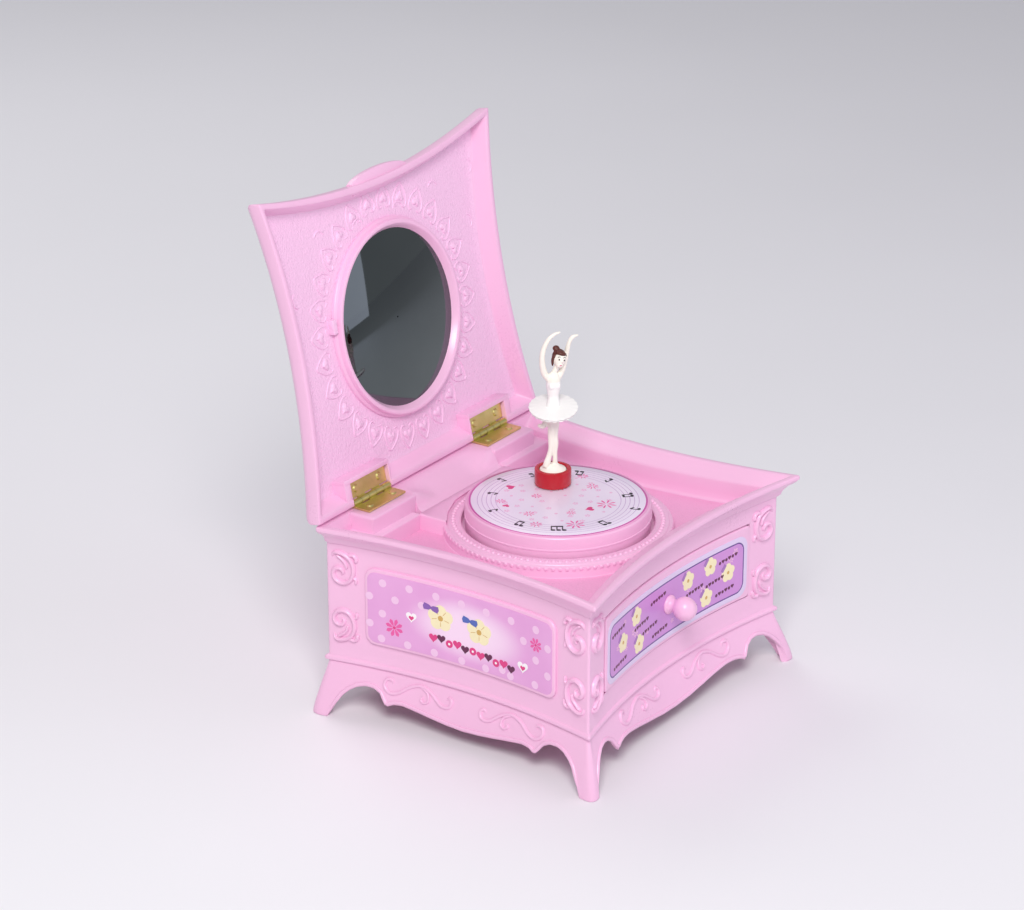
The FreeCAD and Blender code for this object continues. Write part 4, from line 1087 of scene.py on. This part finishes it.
def buildStage():
    cap = Shell()
    centre = (0.0, 2.0)
    cap.turned([(37.2, 74.0), (38.9, 74.0), (39.0, 74.3), (39.0, 84.9), (38.8, 85.4), (38.4, 85.72),
                (37.9, 85.8),
                (20, 85.8), (0.5, 85.8), (0.5, 84.2), (37.2, 84.2)], centre, steps=128)
    cap.turned([(39.0, 79.6), (39.25, 79.8), (39.25, 80.4), (39.0, 80.6)], centre, steps=128)
    cap.make("stageCap", "case", pinkPlastic, ["stage_cap"], crease=40)
    film = Shell()
    filmTop = stageLook["film"]
    film.turned([(0.3, 85.75), (38.2, 85.75), (38.25, 85.95), (38.1, filmTop), (30, filmTop),
                 (0.3, filmTop)], centre,
                steps=128)
    film.make("stageFilm", "case", stageFilmLook, ["stage_print"], crease=50)

    def place(u, v, lift):
        return mm(u, centre[1] + v, filmTop + lift * 0.6)

    layers = {name: Shell() for name in ("blackish", "flower", "paleFlower", "heart")}
    for radius, degrees, count in stageLook["notes"]:
        a = math.radians(degrees)
        ca, sa = math.cos(a), math.sin(a)

        def turnTo(shape):
            # local: u round the stage, v outward
            return [((radius + v) * ca - u * sa, (radius + v) * sa + u * ca) for u, v in shape]

        wide = stageLook["noteStep"]
        for k in range(count):
            u = (k - (count - 1) / 2) * wide
            head = [((x + u / 1.1) * 1.1, (y + 1.6) * 0.8) for x, y in circle(0, 0, 0.92, 12)]
            decal(layers["blackish"], place, turnTo(head), 0.1)
            decal(layers["blackish"], place, turnTo(bar(u - 0.7, 1.4, u - 0.7, -2.4, 0.48)), 0.1)
        if count > 1:
            span = (count - 1) / 2 * wide
            decal(layers["blackish"], place, turnTo(bar(-span - 0.9, -2.3, span - 0.45, -2.3, 1.0)), 0.11)
        else:
            decal(layers["blackish"], place, turnTo(bar(-0.7, -2.3, 1.0, -1.1, 0.7)), 0.11)
    for radius, degrees, size in stageLook["flowers"]:
        a = math.radians(degrees)
        for shape in petals(radius * math.cos(a), radius * math.sin(a), size, 8, 0.3, 0.1):
            decal(layers["flower"], place, shape, 0.08)
    for radius, degrees, width in stageLook["hearts"]:
        a = math.radians(degrees)
        decal(layers["heart"], place, heart(radius * math.cos(a), radius * math.sin(a), width, a - 0.6), 0.08)
    sprinkle, goldenTurn = stageLook["sprinkle"], 2.399963
    for k in range(sprinkle):
        a, radius = k * goldenTurn, 3.0 + 21.5 * math.sqrt((k + 0.5) / sprinkle)
        if k % 3:
            for shape in petals(radius * math.cos(a), radius * math.sin(a), 1.3, 5, a, 0.34):
                decal(layers["paleFlower"], place, shape, 0.05)
        else:
            decal(layers["paleFlower"], place, circle(radius * math.cos(a), radius * math.sin(a), 0.7, 12),
                  0.05)
    for name, shell in layers.items():
        shell.make(f"stagePrint{capital(name)}", "case", inks[name], slot="stage_print", crease=30)


buildStage()
print("stage cap and print")

# lid

lidLook = {"half": 80.5, "front": 67.8, "back": 68.2, "rim": 86.4, "wallTop": 91.0, "top": 95.6, "crown": 0.1,
           "recess": 6.5,
           "mirrorY": 3.0, "sight": 37.6, "frameOuter": 42.6, "hearts": 28, "heartRing": 51.0}


def lidSize(inset, corner=1.4):
    return planSize(inset, back=inset, half=lidLook["half"], depthFront=lidLook["front"],
                    depthBack=lidLook["back"], corner=corner)


def buildLid():
    look = lidLook
    notch = (-56.05, -55.95, -30.05, -29.95, 29.95, 30.05, 55.95, 56.05)
    spots = planSpots(marks(-64, 64, 4), marks(-52, 56, 4), marks(-64, 64, 4, *notch), ends=(0.35, 0.7, 1.0))
    rim, ceiling = look["rim"], look["rim"] + look["recess"]
    profile = [(6.9, ceiling), (6.5, ceiling - 0.2), (6.2, ceiling - 0.8), (3.3, rim + 0.7), (3.0, rim + 0.25),
               (2.6, rim), (0.6, rim), (0.15, rim + 0.2), (0.0, rim + 0.7), (0.0, look["wallTop"]),
               (0.35, 92.2), (1.4, 93.6),
               (3.0, 94.7), (4.8, 95.3), (7.0, look["top"] - look["crown"])]
    # the rim is notched where the hinge leaves lie
    rings = [[lidPoint(*planPoint(spot, lidSize(i, 1.2 if i < 4 else 2.0)),
                       max(z, 89.2) if spot[0] == "back" and not spot[2] and 30 < abs(spot[1]) < 56 else z)
              for spot in spots] for i, z in profile]
    shell = Shell()
    shell.rings(rings)
    flat = [planPoint(s, lidSize(6.9, 2.0)) for s in spots]
    innerFill(shell, flat, (0, 3.0), ceiling, 1, lidPoint, 14)
    crown = [planPoint(s, lidSize(7.0, 2.0)) for s in spots]
    steps = 10
    crownRings = []
    for k in range(steps):
        t = k / steps
        z = look["top"] - look["crown"] * (1 - math.sin(t * math.pi / 2))
        crownRings.append([lidPoint(x * (1 - t), 3 + (y - 3) * (1 - t), z) for x, y in crown])
    shell.rings(crownRings, capLast=True)
    # finger tab on the front edge
    tab = []
    for z, grow in ((88.0, -0.5), (88.2, -0.1), (88.6, 0), (90.4, 0), (90.8, -0.1), (91.0, -0.5)):
        ring = []
        for k in range(25):
            a = -19.0 + 38.0 * k / 24
            bow = boxLook["frontBow"]
            edge = -(look["front"] - bow)
            reach = 4.2 * (1 - (a / 19.3) ** 2) ** 0.62 if abs(a) < 19.3 else 0
            ring.append(lidPoint(a, edge - bow * (a / look["half"]) ** 2 - max(reach + grow, 0.02), z))
        ring += [lidPoint(19.0, -54.6, z), lidPoint(0, -55.6, z), lidPoint(-19.0, -54.6, z)]
        tab.append(ring)
    shell.rings(tab, capFirst=True, capLast=True)
    # pads that carry the lid leaves
    for sx in (-1, 1):
        for x0, x1, y0, y1, face in ((29.6, 59.0, 57.0, 67.2, 89.1), (29.2, 60.0, 56.2, 58.2, rim + 0.08),
                                     (56.0, 60.0, 57.9, 67.5, rim + 0.16),
                                     (29.2, 30.1, 57.9, 67.5, rim + 0.16)):
            softBlock(shell, [(sx * x0, y0), (sx * x1, y0), (sx * x1, y1), (sx * x0, y1)], ceiling + 0.3, face,
                      0.35 if x1 - x0 < 5 or y1 - y0 < 3 else 0.5, lidPoint, rise=-1)
    shell.make("lidShell", "lid", [pinkPlastic, pinkGrain], ["lid_shell"], crease=42)

    normal = (lidPoint(0, 0, 0) - lidPoint(0, 0, 1)).normalized()
    relief = Shell()

    def lidLine(points, width, height, taper=0.15):
        relief.ridge([lidPoint(x, y, ceiling) for x, y in points], [normal] * len(points), width, height,
                     taper=taper, sides=5)

    count, ring = look["hearts"], look["heartRing"]
    arch = smoothLine([(-1.2, -3.6), (-3.2, -4.4), (-4.5, -2.4), (-3.9, 0.8), (-2.2, 3.4), (0, 5.6), (2.2, 3.4),
                       (3.9, 0.8), (4.5, -2.4), (3.2, -4.4), (1.2, -3.6)], 4)
    for k in range(count):
        a = 2 * math.pi * (k + 0.5) / count
        cx, cy = ring * math.cos(a), look["mirrorY"] + ring * math.sin(a)
        lidLine([(cx + v * math.cos(a) - u * math.sin(a), cy + v * math.sin(a) + u * math.cos(a)) for u,
                 v in arch],
                0.8, 0.55, taper=0.05)
        # a small domed heart inside each arch, point outward
        outline = heart(0, -0.2, 5.4, 0, 24)
        rings = []
        for level in range(5):
            t = level / 4
            size, lift = math.cos(t * math.pi / 2 * 0.92), 0.95 * math.sin(t * math.pi / 2)
            rings.append([lidPoint(cx - v * size * math.cos(a) - u * size * math.sin(a),
                                   cy - v * size * math.sin(a) + u * size * math.cos(a), ceiling + 0.1 - lift)
                          for u, v in outline])
        relief.rings(rings, capFirst=True, capLast=True)
    for x, y, start in ((-66, -45, 120), (-40, -42, 200), (-14, -40, 200), (14, -40, 200), (40, -42, 200),
                        (66, -45, 280), (-60, -22, 90), (60, -22, 270)):
        lidLine(spiral(x, y, 3.4, 3.4, start, start + 150, 12), 0.9, 0.6)
    # the clip that holds the mirror frame
    softBlock(relief, [(-44.6, -8.6), (-41.9, -8.6), (-41.9, -2.2), (-44.6, -2.2)], ceiling + 0.2,
              ceiling - 3.0, 0.5,
              lidPoint, rise=-1)
    relief.make("lidHearts", "lid", pinkGrain, slot="pink_plastic", crease=60)

    frameRing = Shell()
    centre = (0.0, look["mirrorY"])
    sight, outer = look["sight"], look["frameOuter"]
    frameRing.turned([(sight, ceiling - 1.0), (sight + 0.2, ceiling - 1.5), (sight + 1.7, ceiling - 3.5),
                      (sight + 2.0, ceiling - 3.85), (sight + 2.5, ceiling - 4.0), (sight + 3.3, ceiling - 4.0),
                      (sight + 3.7, ceiling - 3.8), (sight + 3.9, ceiling - 3.2), (sight + 4.0, ceiling - 1.9),
                      (sight + 4.3, ceiling - 1.6), (outer - 0.2, ceiling - 1.3), (outer, ceiling - 1.0),
                      (outer, ceiling - 0.02), (outer - 3.0, ceiling - 0.02), (outer - 3.2, ceiling - 1.0)],
                     centre, lidPoint,
                     steps=160)
    frameRing.make("mirrorFrame", "lid", pinkPlastic, ["mirror_frame"], crease=40)
    glass = Shell()
    glass.turned([(0.4, ceiling - 1.3), (37.9, ceiling - 1.3), (38.6, ceiling - 1.1), (38.8, ceiling - 0.9),
                  (38.8, ceiling - 0.15), (0.4, ceiling - 0.15)], centre, lidPoint, steps=128)
    glass.make("mirror", "lid", mirrorGlass, ["mirror"], crease=25)


buildLid()
print("lid, hearts, mirror frame and mirror")


# dancer

dancerLook = {"magnetRadius": 7.8, "magnetHole": 5.9, "magnetHeight": 7.2, "tutuRadius": 10.4}


def limb(shell, line, steps=14, flat=1.0):
    # a smooth tube through points of x, y, z, radius
    dense = smoothLine(line, 7)
    rings = []
    for i, (x, y, z, radius) in enumerate(dense):
        before, after = dense[max(i - 1, 0)], dense[min(i + 1, len(dense) - 1)]
        along = Vector([after[k] - before[k] for k in range(3)])
        along = along.normalized() if along.length > 1e-9 else Vector((0, 0, 1))
        side = along.cross(Vector((0, 1, 0.01))).normalized()
        other = along.cross(side).normalized()
        rings.append([dancerPoint(x + radius * (side.x * math.cos(t) + flat * other.x * math.sin(t)),
                                  y + radius * (side.y * math.cos(t) + flat * other.y * math.sin(t)),
                                  z + radius * (side.z * math.cos(t) + flat * other.z * math.sin(t)))
                      for t in [2 * math.pi * k / steps for k in range(steps)]])
    shell.rings(rings, capFirst=True, capLast=True)


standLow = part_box("dancer_magnet")[0][2] * 1000
faceTurn = math.radians(-38)  # which way she looks


def dancerPoint(x, y, z):
    # her own axes: x to her left, -y ahead; heights from the foot of the magnet
    c, s = math.cos(faceTurn), math.sin(faceTurn)
    return Vector((dancerMid[0] + x * c - y * s, dancerMid[1] + x * s + y * c, standLow + z)) / 1000


def blob(shell, centre, radii, steps=20, levels=12, tilt=0.0):
    rings = []
    for level in range(levels + 1):
        turn = -math.pi / 2 + math.pi * level / levels
        ring = []
        for k in range(steps):
            a = 2 * math.pi * k / steps
            px = radii[0] * max(math.cos(turn), 0.02) * math.cos(a)
            py = radii[1] * max(math.cos(turn), 0.02) * math.sin(a)
            pz = radii[2] * math.sin(turn)
            qx, qz = px * math.cos(tilt) - pz * math.sin(tilt), px * math.sin(tilt) + pz * math.cos(tilt)
            ring.append(dancerPoint(centre[0] + qx, centre[1] + py, centre[2] + qz))
        rings.append(ring)
    shell.rings(rings, capFirst=True, capLast=True)


def weld(piece, voxel, smooth=3):
    # closes a figure made of overlapping forms into one skin
    remesh = piece.modifiers.new("weld", "REMESH")
    remesh.mode, remesh.voxel_size, remesh.use_smooth_shade = "VOXEL", voxel, True
    relax = piece.modifiers.new("relax", "SMOOTH")
    relax.iterations, relax.factor = smooth, 0.5
    depsgraph = bpy.context.evaluated_depsgraph_get()
    welded = bpy.data.meshes.new_from_object(piece.evaluated_get(depsgraph))
    piece.modifiers.clear()
    old = piece.data
    piece.data = welded
    if not welded.materials:
        for each in old.materials:
            welded.materials.append(each)
    for face in welded.polygons:
        face.use_smooth = True


def buildDancer():
    magnet = Shell()
    r, h, hole = dancerLook["magnetRadius"], dancerLook["magnetHeight"], dancerLook["magnetHole"]
    profile = [(hole, 0.4), (hole + 0.4, 0.0), (r - 0.4, 0.0), (r, 0.4), (r, h - 0.5), (r - 0.15, h - 0.15),
               (r - 0.5, h), (hole + 0.3, h), (hole, h - 0.3)]
    turns = [2 * math.pi * k / 72 for k in range(72)]
    rings = [[Vector((dancerMid[0] + a * math.cos(t), dancerMid[1] + a * math.sin(t), standLow + z)) / 1000
              for t in turns] for a, z in profile]
    magnet.rings(rings, closed=True)
    magnet.make("dancerMagnet", "dancer_base", magnetRed, ["dancer_magnet"], crease=40)

    figure = Shell()
    # cast foot plate in the magnet, with a low mound under the shoes
    plate = [(0.1, 0.7), (5.75, 0.7), (5.75, 6.5), (5.5, 6.9), (4.6, 7.3), (3.6, 7.9), (2.4, 8.8), (0.1, 9.2)]
    figure.rings([[dancerPoint(a * math.cos(2 * math.pi * k / 40), a * math.sin(2 * math.pi * k / 40), z)
                   for k in range(40)] for a, z in plate], capFirst=True, capLast=True)
    limb(figure, [(0.9, 0.2, 8.4, 1.3), (0.9, -0.1, 10.8, 1.05), (0.8, 0.0, 14.0, 1.1), (0.9, 0.2, 18.0, 1.5),
                  (0.8, 0.1, 22.0, 1.35), (0.9, 0.0, 27.0, 1.75), (0.8, 0.0, 32.5, 2.1)])
    limb(figure, [(-3.4, -0.6, 8.0, 1.5), (-2.6, -0.4, 10.4, 1.45), (-1.8, -0.1, 12.8, 1.15),
                  (-0.9, 0.0, 16.0, 1.2),
                  (-0.8, 0.2, 20.0, 1.4), (-0.8, 0.1, 26.0, 1.6), (-0.8, 0.0, 32.5, 2.0)])
    # second foot, drawn up
    limb(figure, [(-1.6, 1.0, 30.0, 1.5), (-2.8, 1.4, 27.6, 1.35), (-4.2, 1.5, 25.9, 1.15),
                  (-6.2, 1.5, 26.6, 0.7)])
    blob(figure, (0, 0, 33.4), (3.6, 2.9, 2.8))
    limb(figure, [(0, 0, 32.0, 3.3), (0, 0, 36.0, 2.75), (0.0, 0.1, 39.5, 2.15), (0.0, -0.1, 43.0, 2.75),
                  (0.0, -0.2, 46.2, 3.0), (0.0, 0.1, 48.8, 2.5), (0, 0.2, 50.2, 1.3)], flat=0.78)
    for sx in (-1, 1):
        blob(figure, (sx * 1.25, -1.6, 44.8), (1.35, 1.2, 1.3))
    limb(figure, [(0, 0.2, 49.2, 1.3), (0.7, 0.0, 51.2, 1.1), (1.6, -0.2, 53.4, 1.1)])
    blob(figure, (2.5, -0.5, 56.2), (2.75, 3.0, 3.4), tilt=-0.3)
    blob(figure, (1.9, -2.4, 54.2), (1.5, 1.3, 1.3))
    blob(figure, (2.6, -3.4, 55.8), (0.35, 0.6, 0.55))
    # her arms rise overhead, the far one opening outward
    limb(figure, [(-2.2, 0.1, 47.6, 1.4), (-3.9, 0.2, 50.2, 1.45), (-4.9, 0.1, 55.0, 1.3),
                  (-4.6, 0.0, 60.0, 1.15),
                  (-2.6, -0.1, 64.6, 0.95), (0.0, -0.2, 67.0, 0.75), (2.8, -0.4, 67.9, 0.45)])
    limb(figure, [(2.2, 0.4, 47.6, 1.4), (4.0, 0.9, 50.4, 1.35), (5.3, 0.9, 54.4, 1.2), (6.0, 0.6, 58.6, 1.1),
                  (6.8, 0.2, 62.4, 0.95), (8.2, -0.1, 65.0, 0.85), (10.6, -0.4, 65.7, 0.45)])
    piece = figure.make("dancerFigure", "dancer", creamPlastic, ["dancer_figure"], crease=70)
    weld(piece, 0.00028, 4)

    bodice = Shell()
    limb(bodice, [(0, 0, 33.6, 3.3), (0, 0, 36.0, 2.95), (0.0, 0.1, 39.5, 2.35), (0.0, -0.1, 43.0, 2.95),
                  (0.0, -0.15, 45.4, 3.1), (0.0, -0.1, 46.6, 2.95)], flat=0.8, steps=24)
    for sx in (-1, 1):
        blob(bodice, (sx * 1.25, -1.75, 44.6), (1.4, 1.2, 1.3))
    dress = bodice.make("dancerBodice", "dancer", whitePlastic, slot="dancer_cream", crease=70)
    weld(dress, 0.0003, 3)

    hair = Shell()
    blob(hair, (2.5, 0.5, 57.0), (2.95, 2.75, 3.1), tilt=-0.3)
    blob(hair, (1.6, 1.6, 60.2), (1.5, 1.5, 1.2))
    blob(hair, (2.9, -1.3, 58.9), (2.3, 2.0, 1.1), tilt=-0.35)
    limb(hair, [(0.0, -1.0, 58.2, 0.5), (-0.4, -0.6, 56.6, 0.75), (-0.5, -0.2, 54.6, 0.6),
                (-0.4, 0.1, 53.0, 0.3)])
    limb(hair, [(4.9, -0.6, 58.0, 0.5), (5.2, 0.0, 56.8, 0.6), (5.1, 0.4, 55.6, 0.4)])
    knot = hair.make("dancerHair", "dancer", hairBrown, slot="dancer_cream", crease=70)
    weld(knot, 0.0003, 2)

    face = Shell()  # calm, plain painted features
    for sx in (-1, 1):
        blob(face, (2.55 + sx * 1.1, -3.22, 56.55 - sx * 0.25), (0.36, 0.22, 0.34), steps=10, levels=6)
        brow = [(2.6 + sx * (0.6 + 0.35 * k), -3.2 + 0.14 * k, 57.6 - sx * 0.3 + 0.12 * math.sin(k * 1.2), 0.12)
                for k in range(4)]
        limb(face, brow, steps=6)
    face.make("dancerEyes", "dancer", faceInk, slot="dancer_cream", crease=70)
    lips = Shell()
    blob(lips, (1.95, -3.6, 54.3), (0.55, 0.24, 0.2), steps=10, levels=6)
    lips.make("dancerLips", "dancer", inks["heart"], slot="dancer_cream", crease=70)

    tutu = Shell()
    top, steps, levels, tilt = 35.6, 132, 10, 0.19
    rings = []
    for layer, (drop, wave, phase) in enumerate(((0.0, 0.05, 0.0), (-0.8, 0.12, 1.3))):
        upper, lower = [], []
        for level in range(levels + 1):
            share = level / levels
            radius = 2.4 + (dancerLook["tutuRadius"] - 2.5 - layer * 0.35) * share
            rowUp, rowLow = [], []
            for k in range(steps):
                a = 2 * math.pi * k / steps
                flare = wave * share * math.sin(22 * a + phase)
                scallop = 0.14 * share ** 3 * math.cos(22 * a + phase)
                rr = min(radius + scallop, dancerLook["tutuRadius"])
                z = top + drop - 1.0 * share ** 1.6 + flare - 0.5 * (1 - share) + tilt * rr * math.sin(a + 0.31)
                rowUp.append(dancerPoint(rr * math.cos(a), rr * math.sin(a), z + 0.28 * (1 - share) + 0.14))
                rowLow.append(dancerPoint(rr * math.cos(a), rr * math.sin(a), z - 0.14))
            upper.append(rowUp)
            lower.append(rowLow)
        tutu.rings(upper + lower[::-1], closed=True)
    tutu.make("dancerTutu", "dancer", whitePlastic, ["dancer_tutu"], crease=70)


buildDancer()
print("dancer and magnet")


# carried-over metal and hidden pieces

carried = {
    "hinge": (hingeBrass, ["left_case_leaf", "left_lid_leaf", "right_case_leaf", "right_lid_leaf",
                           "left_hinge_pin",
                           "right_hinge_pin", "case_hinge_screws", "lid_hinge_screws"]),
    "steel": (brightSteel, ["bottom_screws", "knob_screw", "comb", "comb_screws", "movement_screws",
                            "mainspring",
                            "winding_arbor", "cylinder_arbor", "idler_arbor", "drive_shaft", "winding_key",
                            "spring_housing", "governor_bracket"]),
    "zinc": (zincCast, ["movement_frame"]),
    "brass": (wornBrass, ["great_wheel", "pinned_cylinder"]),
    "white": (whitePlastic, ["cylinder_gear", "drive_gear", "governor_worm", "air_brake", "idler_wheel",
                             "rotor_gear",
                             "magnet_carrier"]),
    "dark": (magnetDark, ["carrier_magnets"]),
    "inner": (pinkMatt, ["bottom_plate", "drawer_box", "drawer_guide"])}


def dressNodes():
    for finish, names in carried.values():
        for name in names:
            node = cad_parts[name]
            thing = node if hasattr(node, "data") else bpy.data.objects[node]
            if not thing.data.materials:
                thing.data.materials.append(finish)
            for k in range(len(thing.material_slots)):
                thing.material_slots[k].material = finish


dressNodes()
print("hinges, screws and movement finished")

# floor, light and camera

studio = {"world": (0.93, 0.93, 1.0), "worldPower": 0.40, "keyPower": 13.5, "fillPower": 2.6, "backPower": 3.5,
          "lens": 119.3, "cameraAt": (-1082.7, -715.2, 651.1), "cameraAlong": (0.7611, 0.5206, -0.3869)}


def buildStudio():
    mesh = bpy.data.meshes.new("floor")
    mesh.from_pydata([(-4, -4, 0), (6, -4, 0), (6, 6, 0), (-4, 6, 0)], [], [(0, 1, 2, 3)])
    floor = bpy.data.objects.new("floor", mesh)
    bpy.context.scene.collection.objects.link(floor)
    made = Finish("floorPaper", {"Roughness": 0.7})
    made.feed("Base Color", made.blend(shade(234, 233, 236), shade(241, 240, 243), made.noise(3, 3)))
    mesh.materials.append(made.material)
    world = bpy.data.worlds.new("studio")
    bpy.context.scene.world = world
    world.use_nodes = True
    back = world.node_tree.nodes["Background"]
    back.inputs[0].default_value = (*studio["world"], 1)
    back.inputs[1].default_value = studio["worldPower"]
    target = mm(0, 0, 90)
    for name, at, power, size, tint in (
            ("key", (-860, -560, 1060), studio["keyPower"], 0.5, (1.0, 0.98, 0.97)),
            ("fill", (500, -1100, 500), studio["fillPower"], 0.9, (0.84, 0.82, 1.0)),
            ("rim", (300, 900, 900), studio["backPower"], 0.8, (1.0, 1.0, 1.0))):
        lamp = bpy.data.lights.new(name, "AREA")
        lamp.energy, lamp.size, lamp.color = power, size, tint
        holder = bpy.data.objects.new(name, lamp)
        bpy.context.scene.collection.objects.link(holder)
        holder.location = mm(*at)
        holder.rotation_euler = (target - holder.location).to_track_quat("-Z", "Y").to_euler()
    view = bpy.data.cameras.new("camera")
    view.lens, view.sensor_width, view.sensor_fit = studio["lens"], 36.0, "HORIZONTAL"
    view.clip_end = 20
    camera = bpy.data.objects.new("camera", view)
    bpy.context.scene.collection.objects.link(camera)
    camera.location = mm(*studio["cameraAt"])
    camera.rotation_euler = Vector(studio["cameraAlong"]).to_track_quat("-Z", "Y").to_euler()
    bpy.context.scene.camera = camera


buildStudio()
bpy.context.scene.view_settings.view_transform = "Standard"
print("studio ready")
